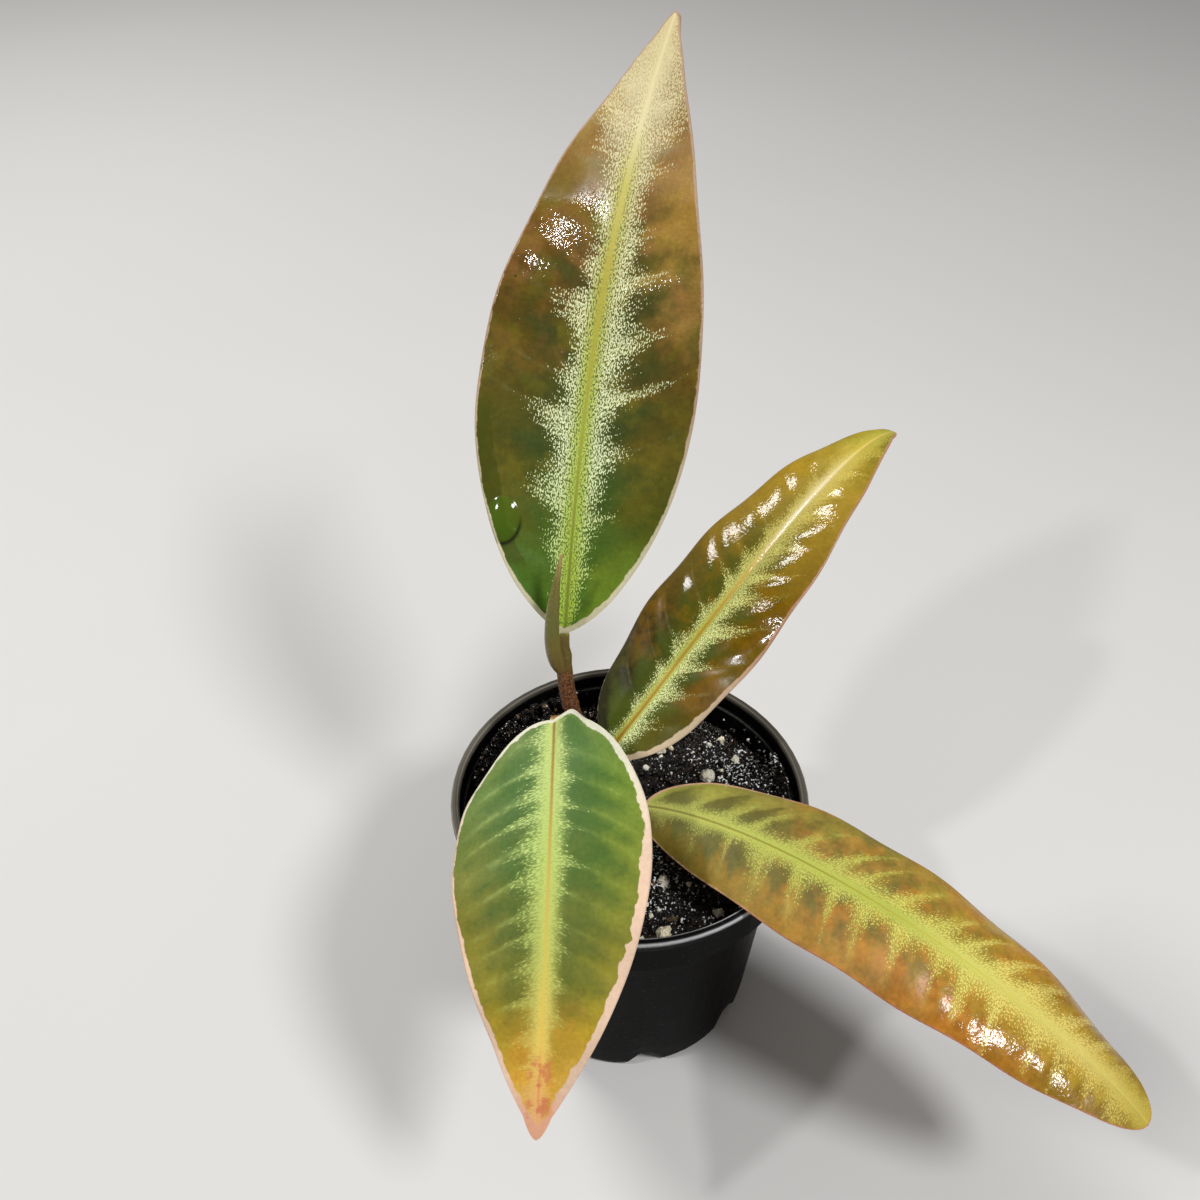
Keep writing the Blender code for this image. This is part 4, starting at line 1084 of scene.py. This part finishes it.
def stem_mesh():
    """The stem with a swelling where each petiole leaves it, ridges of old bark and a pointed tip."""
    shares = np.linspace(0, 1, STEM_ROWS)
    places, length = along(STEM_ROUTE, shares)
    radii = STEM_RADII[0] + (STEM_RADII[1] - STEM_RADII[0]) * shares
    for leaf in LEAVES.values():
        swelling = SWELLING if leaf["stem_share"] < 0.9 else TOP_SWELLING
        radii = radii + swelling * hump(shares - leaf["stem_share"], 0.025)
    for scar in SCARS:
        radii = radii + SCAR_HEIGHT * hump(shares - scar, 0.008)
    beyond = np.linspace(0, STEM_TIP, 25)[1:]
    places = np.concatenate([places, places[-1] + beyond[:, None] * unit(places[-1] - places[-2])])
    radii = np.concatenate([radii, radii[-1] * (1 - 0.75 * (beyond / STEM_TIP) ** 1.3)])
    shares = np.concatenate([shares, 1 + beyond / length])
    around = [(2 * math.cos(angle), 2 * math.sin(angle)) for angle in circle(BAR_SIDES)]
    lumps = np.array([[noise.noise(Vector((x, y, share * 26))) for x, y in around] for share in shares])
    return bar_mesh("stem", places, radii, 1 + BARK_LUMPS * lumps, shares[:, None], 0.0, 0.0)


def stem_material():
    paint = Paint("stem_bark")
    place = paint.place()
    share, _, _ = paint.split(paint.attribute("form"))
    soft = paint.noise(place, 0.5, 3.0, 0.6)
    fine = paint.noise(place, 3.2, 4.0, 0.7)
    colour = paint.tones(share + (soft - 0.5) * 0.07, STEM_TONES)
    flaky = paint.rise(paint.cells(place, 1.9) + (fine - 0.5) * 0.9, 0.3, 0.62)
    colour = paint.mix(flaky * 0.5 * paint.rise(share, 0.98, 0.93), colour, srgb(152, 104, 66))
    colour = paint.scaled(colour, 0.5 + fine)
    height = flaky * 0.09 + fine * 0.08
    return paint.surface(colour, 0.5 + (fine - 0.5) * 0.3, height, specular=0.25, ior=1.45)


def spear_mesh():
    """The furled leaf: a tapering roll whose free edge makes a groove down its front."""
    shares = np.linspace(0, 1, SPEAR_ROWS)
    places, _ = along(SPEAR_ROUTE, shares)
    radii = np.interp(shares, *SPEAR_RADII) * 0.97
    seam = (circle(BAR_SIDES)[None, :] - (SEAM_ANGLE + SEAM_TWIST * shares[:, None])) % (2 * math.pi)
    spiral = 1 + 0.13 * (seam / (2 * math.pi)) - 0.30 * hump(seam, 0.30)
    return bar_mesh("leaf_spear", places, radii, spiral, shares[:, None], seam, 0.0)


def spear_material():
    paint = Paint("spear_leaf")
    place = paint.place()
    share, seam, _ = paint.split(paint.attribute("form"))
    fine = paint.noise(place, 2.8, 4.0, 0.65)
    streak = paint.noise(paint.join(seam * 4.0, share * 5.0), 1.0, 3.0, 0.6)
    colour = paint.tones(share + (streak - 0.5) * 0.2, SPEAR_TONES)
    colour = paint.mix(paint.bell(seam - 0.55, 0.22) * 0.45, colour, srgb(176, 150, 104))
    dots = paint.rise(paint.noise(place, 2.0, 2.0), 0.6, 0.68) * paint.bell(seam - 2.8, 0.7)
    colour = paint.mix(dots * 0.5, colour, srgb(188, 170, 110))
    colour = paint.scaled(colour, 0.62 + fine * 0.76)
    roughness = 0.42 + (fine - 0.5) * 0.2
    return paint.surface(colour, roughness, fine * 0.06, coat_weight=0.2, coat_roughness=0.2, ior=1.45)


# Soil

SOIL_LEVEL = 64.0
SOIL_RADIUS = 40.4
HEAPS = ((37.0, 4.0, 3.5, 13.0), (-27.0, 30.0, 3.5, 13.0))
COARSE_CRUMBS = (0.9, 4.8)
FINE_CRUMBS = (0.8, 1.8)
SOIL_SIDE = ((38.34, 58.0), (37.1, 54.0), (36.7, 50.0), (33.98, 16.0), (31.5, 8.3), (18.0, 1.3), (0.0, 1.3))
PERLITE_GRAINS = 42
PERLITE_RADII = (1.1, 2.6)
PERLITE_RISE = 0.15
SOIL_SEED = 8

# Soil, for the looks only

MAP_REACH = 42.0
MAP_STEP = 0.2
MAP_GRAINS = 9000
BED_RINGS = 100
BED_SIDES = 420
BED_RIM = 0.8  # width of the bed's smooth rim
LOOSE_CRUMBS = 1100
CHIP_SHARE = 0.16  # share of the loose crumbs that are long flat chips
STEM_FOOT = (0.0, 1.0, 3.4)  # no loose crumb lies this near the stem: x, y and distance
SMALL_PERLITE = 230
BLACK_TONES = ((0.25, 4, 3, 3), (0.5, 12, 9, 7), (0.72, 30, 21, 15))

# places where most white specks are painted on the soil as its glints: x, y and width
PAINTED_GLINTS = ((31.0, 13.0, 14.0), (8.0, -24.0, 10.0))

# crumbs that cling to the pot's wall above the soil: azimuth, its spread, number, and how high they reach
WALL_CRUMBS = ((148.0, 20.0, 420, 7.0), (6.0, 14.0, 300, 6.0))
WALL_TOP = 72.0


def heaped(x, y):
    return sum(height * np.exp(-((x - a) ** 2 + (y - b) ** 2) / reach**2) for a, b, height, reach in HEAPS)


def crumbs(x, y):
    total = 0.0
    for height, size in (COARSE_CRUMBS, FINE_CRUMBS):
        total += height * noise.noise(Vector((x / size, y / size, size)))
    return total


def soil_height():
    """A square height map of the soil's top: many small crumbs lying on its heaps."""
    count = int(2 * MAP_REACH / MAP_STEP) + 1
    line = np.linspace(-MAP_REACH, MAP_REACH, count)
    coarse = np.array([[crumbs(a, b) for b in line[::4]] for a in line[::4]])
    places = np.linspace(0, len(coarse) - 1, count)
    low = np.floor(places).astype(int).clip(0, len(coarse) - 2)
    part = places - low
    rows = coarse[low] * (1 - part)[:, None] + coarse[low + 1] * part[:, None]
    level = rows[:, low] * (1 - part) + rows[:, low + 1] * part
    level = level + heaped(*np.meshgrid(line, line, indexing="ij"))
    top = level - 0.5
    rng = np.random.default_rng(SOIL_SEED)
    for _ in range(MAP_GRAINS):
        radius = 0.35 + 1.1 * rng.random() ** 2.2
        a, b = rng.uniform(-MAP_REACH, MAP_REACH, 2)
        left, right = np.searchsorted(line, (a - radius, a + radius))
        near, far = np.searchsorted(line, (b - radius, b + radius))
        if right <= left or far <= near:
            continue
        stretch = rng.uniform(0.6, 1.0)
        tilt = rng.uniform(0, math.pi)
        dx = line[left:right, None] - a
        dy = line[None, near:far] - b
        u = (dx * math.cos(tilt) + dy * math.sin(tilt)) / radius
        v = (dy * math.cos(tilt) - dx * math.sin(tilt)) / (radius * stretch)
        dome = np.sqrt(np.clip(1 - u**2 - v**2, 0, 1)) * radius * 0.75
        ground = level[(left + right) // 2 % count, (near + far) // 2 % count]
        centre = ground - radius * rng.uniform(0.3, 0.75)
        patch = top[left:right, near:far]
        np.maximum(patch, np.where(dome > 0, centre + dome, -9.0), out=patch)
    return line, top


def sampled(line, field, x, y):
    """The height map's value at x and y."""
    step = line[1] - line[0]
    i = np.clip((np.asarray(x) - line[0]) / step, 0, len(line) - 1.001)
    j = np.clip((np.asarray(y) - line[0]) / step, 0, len(line) - 1.001)
    row = i.astype(int)
    column = j.astype(int)
    a = i - row
    b = j - column
    near = field[row, column] * (1 - a) + field[row + 1, column] * a
    far = field[row, column + 1] * (1 - a) + field[row + 1, column + 1] * a
    return near * (1 - b) + far * b


def bed_mesh(line, top):
    """The body of the soil, with its crumbly top."""
    radii = np.linspace(0, SOIL_RADIUS, BED_RINGS + 1)[1:, None]
    angles = circle(BED_SIDES)
    x = radii * np.cos(angles)
    y = radii * np.sin(angles)
    edge = np.clip((SOIL_RADIUS - radii) / BED_RIM, 0, 1)
    rim = SOIL_LEVEL + heaped(x, y) - 0.4
    z = (SOIL_LEVEL + sampled(line, top, x, y)) * edge + rim * (1 - edge)
    points = [[0.0, 0.0, SOIL_LEVEL + float(sampled(line, top, 0.0, 0.0))]]
    points += np.stack([x, y, z], -1).reshape(-1, 3).tolist()
    for radius, height in SOIL_SIDE[:-1]:
        points += [[radius * math.cos(a), radius * math.sin(a), height] for a in angles]
    points.append([0.0, 0.0, SOIL_SIDE[-1][1]])
    last = len(points) - 1
    index = np.arange(1, last).reshape(-1, BED_SIDES)
    following = np.roll(index, -1, axis=1)
    faces = np.stack([index[:-1], index[1:], following[1:], following[:-1]], -1).reshape(-1, 4).tolist()
    faces += [[0, a, b] for a, b in zip(index[0], following[0])]
    faces += [[last, b, a] for a, b in zip(index[-1], following[-1])]
    return mesh_of("soil_bed", points, faces)


def lump(subdivisions):
    """Points and faces of a round lump of radius 1."""
    shape = bmesh.new()
    bmesh.ops.create_icosphere(shape, subdivisions=subdivisions, radius=1.0)
    points = np.array([vertex.co for vertex in shape.verts])
    faces = np.array([[vertex.index for vertex in face.verts] for face in shape.faces])
    shape.free()
    return points, faces


def roughened(points, size, amount, offset):
    rough = [1 + amount * noise.noise(Vector(point) * size + Vector((offset, 0, 0))) for point in points]
    return points * np.array(rough)[:, None]


def turned_lump(points, stretch, angles):
    matrix = np.array(Euler(angles).to_matrix())
    return (points * np.array(stretch)) @ matrix.T


def any_turn(rng):
    return [rng.uniform(0, 6) for _ in range(3)]


def scattered(rng, most):
    """A random place on a disc."""
    reach = most * math.sqrt(rng.random())
    azimuth = rng.uniform(0, 2 * math.pi)
    return reach * math.cos(azimuth), reach * math.sin(azimuth)


def pile(name, pieces):
    """One mesh of many lumps, each with two random tones for its material."""
    points = []
    faces = []
    tones = []
    count = 0
    for shape, lump_faces, place, tone, tint in pieces:
        points.append(shape + np.array(place))
        faces.append(lump_faces + count)
        tones.append(np.tile((tone, tint, 0.0), (len(shape), 1)))
        count += len(shape)
    mesh = mesh_of(name, np.concatenate(points), np.concatenate(faces))
    store(mesh, "tone", np.concatenate(tones))
    return mesh


def perlite_places(rng):
    """The grains of the solid: (x, y, radius)."""
    foot = bezier(STEM_ROUTE, 1 / 3)
    places = []
    while len(places) < PERLITE_GRAINS:
        radius = rng.uniform(*PERLITE_RADII)
        x, y = scattered(rng, SOIL_RADIUS - radius - 1.5)
        clear = math.hypot(x - foot[0], y - foot[1]) > 5.0 + radius
        if clear and all(math.hypot(x - a, y - b) > radius + other + 0.8 for a, b, other in places):
            places.append((x, y, radius))
    return places


def perlite_mesh(line, top):
    rng = random.Random(SOIL_SEED)
    places = perlite_places(rng)
    points, faces = lump(4)
    small_points, small_faces = lump(2)
    pieces = []
    for index, (x, y, radius) in enumerate(places):
        shape = roughened(roughened(points, 1.3, 0.45, index * 7.1), 3.4, 0.22, index * 3.3)
        stretch = [radius * rng.uniform(0.66, 0.95) for _ in range(3)]
        shape = turned_lump(shape, stretch, any_turn(rng))
        height = SOIL_LEVEL + float(heaped(x, y)) + crumbs(x, y) + PERLITE_RISE * radius
        pieces.append((shape, faces, (x, y, height), rng.random(), rng.random()))
    for index in range(SMALL_PERLITE):
        radius = 0.22 + 0.75 * rng.random() ** 2
        x, y = scattered(rng, SOIL_RADIUS - 2.0)
        shape = roughened(small_points, 1.6, 0.5, index * 5.7)
        shape = turned_lump(shape, [radius, radius * 0.9, radius * 0.8], any_turn(rng))
        height = SOIL_LEVEL + float(sampled(line, top, x, y)) + radius * 0.25
        pieces.append((shape, small_faces, (x, y, height), rng.random(), rng.random()))
    return pile("soil_perlite", pieces)


def crumb_mesh(line, top):
    """Loose crumbs, chips and threads of peat lying on the bed and clinging to the wall."""
    rng = random.Random(SOIL_SEED + 1)
    points, faces = lump(2)
    foot_x, foot_y, foot_reach = STEM_FOOT
    pieces = []
    for index in range(LOOSE_CRUMBS):
        radius = 0.35 + 1.0 * rng.random() ** 2
        x, y = scattered(rng, SOIL_RADIUS - radius - 0.6)
        if math.hypot(x - foot_x, y - foot_y) < foot_reach:
            continue
        shape = roughened(points, 1.4, 0.7, index * 2.9)
        chip = rng.random() < CHIP_SHARE
        stretch = (1.9, 0.7, 0.3) if chip else (1.0, rng.uniform(0.6, 1.0), rng.uniform(0.55, 0.9))
        tilt = (rng.uniform(-0.5, 0.5), rng.uniform(-0.5, 0.5), rng.uniform(0, 6.3))
        shape = turned_lump(shape, [radius * share for share in stretch], tilt)
        height = SOIL_LEVEL + float(sampled(line, top, x, y)) + radius * 0.2
        pieces.append((shape, faces, (x, y, height), rng.random(), float(chip)))
    for middle, spread, count, highest in WALL_CRUMBS:
        for index in range(count):
            radius = 0.3 + 0.8 * rng.random() ** 2
            azimuth = math.radians(rng.gauss(middle, spread))
            climb = rng.random() ** 1.4 * highest
            reach = SOIL_RADIUS - 0.4 - radius * 0.4 + climb * 0.13
            x = reach * math.cos(azimuth)
            y = reach * math.sin(azimuth)
            shape = roughened(points, 1.4, 0.7, index * 4.3)
            shape = turned_lump(shape, [radius, radius * 0.8, radius * 0.7], any_turn(rng))
            height = min(SOIL_LEVEL + float(heaped(x, y)) + climb, WALL_TOP)
            pieces.append((shape, faces, (x, y, height), rng.random(), 0.0))
    return pile("soil_crumbs", pieces)


def soil_material(name, loose):
    """Wet black peat with painted white glints in places. Loose crumbs also differ in tone."""
    paint = Paint(name)
    place = paint.place()
    soft = paint.noise(place, 0.25, 3.0, 0.6)
    fine = paint.noise(place, 2.4, 4.0, 0.7)
    colour = paint.tones(fine + (soft - 0.5) * 0.5, BLACK_TONES)
    x, y, _ = paint.split(place)
    bright = sum(paint.bell(x - a, width) * paint.bell(y - b, width) for a, b, width in PAINTED_GLINTS)
    glinting = paint.rise(paint.noise(place, 0.17, 2.0), 0.42, 0.62) * 0.5 + bright * 0.7
    painted_glint = paint.rise(paint.noise(place, 1.3, 1.0) + glinting * 0.17, 0.74, 0.78)
    if loose:
        tone, chip, _ = paint.split(paint.attribute("tone"))
        colour = paint.scaled(colour, 0.6 + tone * 1.1)
        colour = paint.mix(chip * 0.7, colour, srgb(50, 33, 22))
        colour = paint.mix(paint.rise(tone, 0.95, 0.98) * 0.8, colour, srgb(104, 82, 58))
    # painted highlight: white specks in the colour stand for the wet soil's glints
    colour = paint.mix(painted_glint * 0.95, colour, srgb(250, 250, 250))
    wet = paint.rise(paint.noise(place, 0.9, 2.0, 0.6), 0.4, 0.5)
    height = paint.noise(place, 1.3, 2.0, 0.6) * 0.8
    return paint.surface(colour, 0.8 - wet * 0.68, height, specular=0.4, ior=1.45)


def perlite_material():
    paint = Paint("perlite")
    place = paint.place()
    tone, tint, _ = paint.split(paint.attribute("tone"))
    pores = paint.cells(place, 2.6)
    fine = paint.noise(place, 1.6, 4.0, 0.7)
    colour = paint.mix(tint, srgb(250, 248, 240), srgb(238, 228, 196))
    colour = paint.mix(paint.rise(tone, 0.7, 0.95) * 0.6, colour, srgb(150, 126, 92))
    dirt = paint.rise(fine + (0.5 - pores) * 0.25, 0.54, 0.7)
    colour = paint.mix(dirt * 0.55, colour, srgb(96, 78, 56))
    colour = paint.scaled(colour, 0.85 + pores * 0.5)
    return paint.surface(colour, 0.62, pores * 0.22 + fine * 0.3, ior=1.45)


# Pot


LIP_TOP = (72.4, 73.2)  # the painted light on the lip's top begins and is full at these heights
OUTER_RIDGE = (44.75, 0.2)  # radius and width of the two painted highlight lines on the lip's ridges
INNER_RIDGE = (43.3, 0.16)
LEDGE = (41.9, 69.4)  # radius and height of the ledge inside the band


def pot_material():
    """Black moulded plastic with a satin face, a lip painted pale on top with painted highlights, faint
    handling marks and a little dust.
    """
    paint = Paint("pot_plastic")
    place = paint.place()
    x, y, z = paint.split(place)
    radius = paint.math("SQRT", x * x + y * y)
    soft = paint.noise(place, 0.06, 3.0, 0.55)
    fine = paint.noise(place, 1.4, 4.0, 0.65)
    rub = paint.noise(paint.join(x * 0.25, y * 0.25, z * 3.0), 0.9, 4.0, 0.7)
    colour = paint.mix(soft, srgb(6, 6, 6), srgb(11, 10, 10))
    dust = paint.rise(paint.noise(place, 0.9, 5.0, 0.75), 0.62, 0.74)
    colour = paint.mix(dust * 0.35, colour, srgb(74, 66, 56))
    grit = paint.rise(paint.cells(place, 0.55) + (fine - 0.5) * 0.1, 0.16, 0.08)
    colour = paint.mix(grit * 0.6, colour, srgb(64, 50, 38))

    # the lip's top, painted pale as if lit from above, most at both sides and least at the front, with
    # painted highlight lines on its two ridges that are strongest and whitest at the front; and a faint pale
    # line along the ledge below it
    outer, inner = [paint.bell(radius - at, width) for at, width in (OUTER_RIDGE, INNER_RIDGE)]
    front = paint.rise(y, -18.0, -36.0)
    beside = paint.rise(x.abs(), 22.0, 42.0)
    ridge_highlights = (outer + inner * 0.8) * (0.25 + front * 0.5 + fine * 0.6)
    lip_light = paint.rise(z, *LIP_TOP) * (0.2 + beside * 0.2 - front * 0.2 + ridge_highlights)
    colour = paint.mix(lip_light, colour, paint.mix(front, srgb(142, 136, 124), srgb(186, 188, 188)))
    ledge = paint.bell(radius - LEDGE[0], 0.22) * paint.bell(z - LEDGE[1], 0.5) * paint.rise(fine, 0.3, 0.55)
    colour = paint.mix(ledge * 0.28, colour, srgb(120, 122, 118))
    roughness = 0.42 + soft * 0.1 + (rub - 0.5) * 0.14 + dust * 0.25
    return paint.surface(colour, roughness, fine * 0.012 + rub * 0.008 + grit * 0.08, specular=0.05)


# Stage


FLOOR_SIZE = 8.0
FLOOR_COLOURS = ((0.62, 0.61, 0.60), (0.66, 0.655, 0.645))
WORLD_COLOUR = (1.0, 0.995, 0.985, 1.0)
WORLD_STRENGTH = 0.21
CAMERA_PLACE = (-0.0075, -0.198, 0.3075)
CAMERA_PITCH = 40.7  # degrees below the horizontal
LENS = 36.0  # in mm, as wide as the sensor

# name, place, the point that it faces, size in metres, power in watts and colour of each lamp
LAMPS = (
    ("key", (-0.65, 0.62, 1.10), (0.0, 0.0, 0.1), 0.38, 10.6, (1.0, 0.985, 0.96)),
    ("front", (0.45, -0.38, 0.85), (0.05, -0.04, 0.08), 0.2, 5.6, (1.0, 1.0, 1.0)),
    ("side", (-0.62, -0.3, 0.95), (0.0, 0.05, 0.18), 0.07, 2.8, (1.0, 1.0, 1.0)),
)


def stage():
    bpy.ops.mesh.primitive_plane_add(size=FLOOR_SIZE, location=(0, 0, 0))
    floor = bpy.context.object
    floor.name = "floor"
    paint = Paint("floor")
    colour = paint.mix(paint.noise(paint.place(), 0.004, 2.0), *FLOOR_COLOURS)
    floor.data.materials.append(paint.surface(colour, 0.75, ior=1.3))


def placed(name, data, place):
    obj = bpy.data.objects.new(name, data)
    bpy.context.scene.collection.objects.link(obj)
    obj.location = place
    return obj


def lights():
    for name, place, target, size, power, colour in LAMPS:
        data = bpy.data.lights.new(name, "AREA")
        data.shape = "DISK"
        data.size = size
        data.energy = power
        data.color = colour
        lamp = placed(name, data, place)
        lamp.rotation_euler = (Vector(target) - Vector(place)).to_track_quat("-Z", "Y").to_euler()
    world = bpy.data.worlds.new("studio")
    world.use_nodes = True
    background = world.node_tree.nodes["Background"]
    background.inputs["Color"].default_value = WORLD_COLOUR
    background.inputs["Strength"].default_value = WORLD_STRENGTH
    bpy.context.scene.world = world


def camera():
    data = bpy.data.cameras.new("camera")
    data.lens = LENS
    data.sensor_width = LENS
    data.clip_start = 0.01
    data.clip_end = 20.0
    viewer = placed("camera", data, CAMERA_PLACE)
    viewer.rotation_euler = (math.radians(90.0 - CAMERA_PITCH), 0.0, 0.0)
    bpy.context.scene.camera = viewer


def main():
    camera()
    build_leaf("leaf_tall")
    build_leaf("leaf_front")
    build_leaf("leaf_back")
    build_leaf("leaf_low")
    show(stem_mesh(), "stem_bark", [stem_material()], "stem")
    show(spear_mesh(), "leaf_spear_roll", [spear_material()], "leaf_spear")
    line, top = soil_height()
    show(bed_mesh(line, top), "soil_bed", [soil_material("soil_mix", False)], "soil")
    show(crumb_mesh(line, top), "soil_crumbs", [soil_material("soil_loose", True)], "soil")
    show(perlite_mesh(line, top), "soil_perlite", [perlite_material()], "soil")
    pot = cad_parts["pot"]
    pot.data.materials.clear()
    pot.data.materials.append(pot_material())
    stage()
    lights()
    bpy.context.scene.view_settings.view_transform = "Standard"


main()
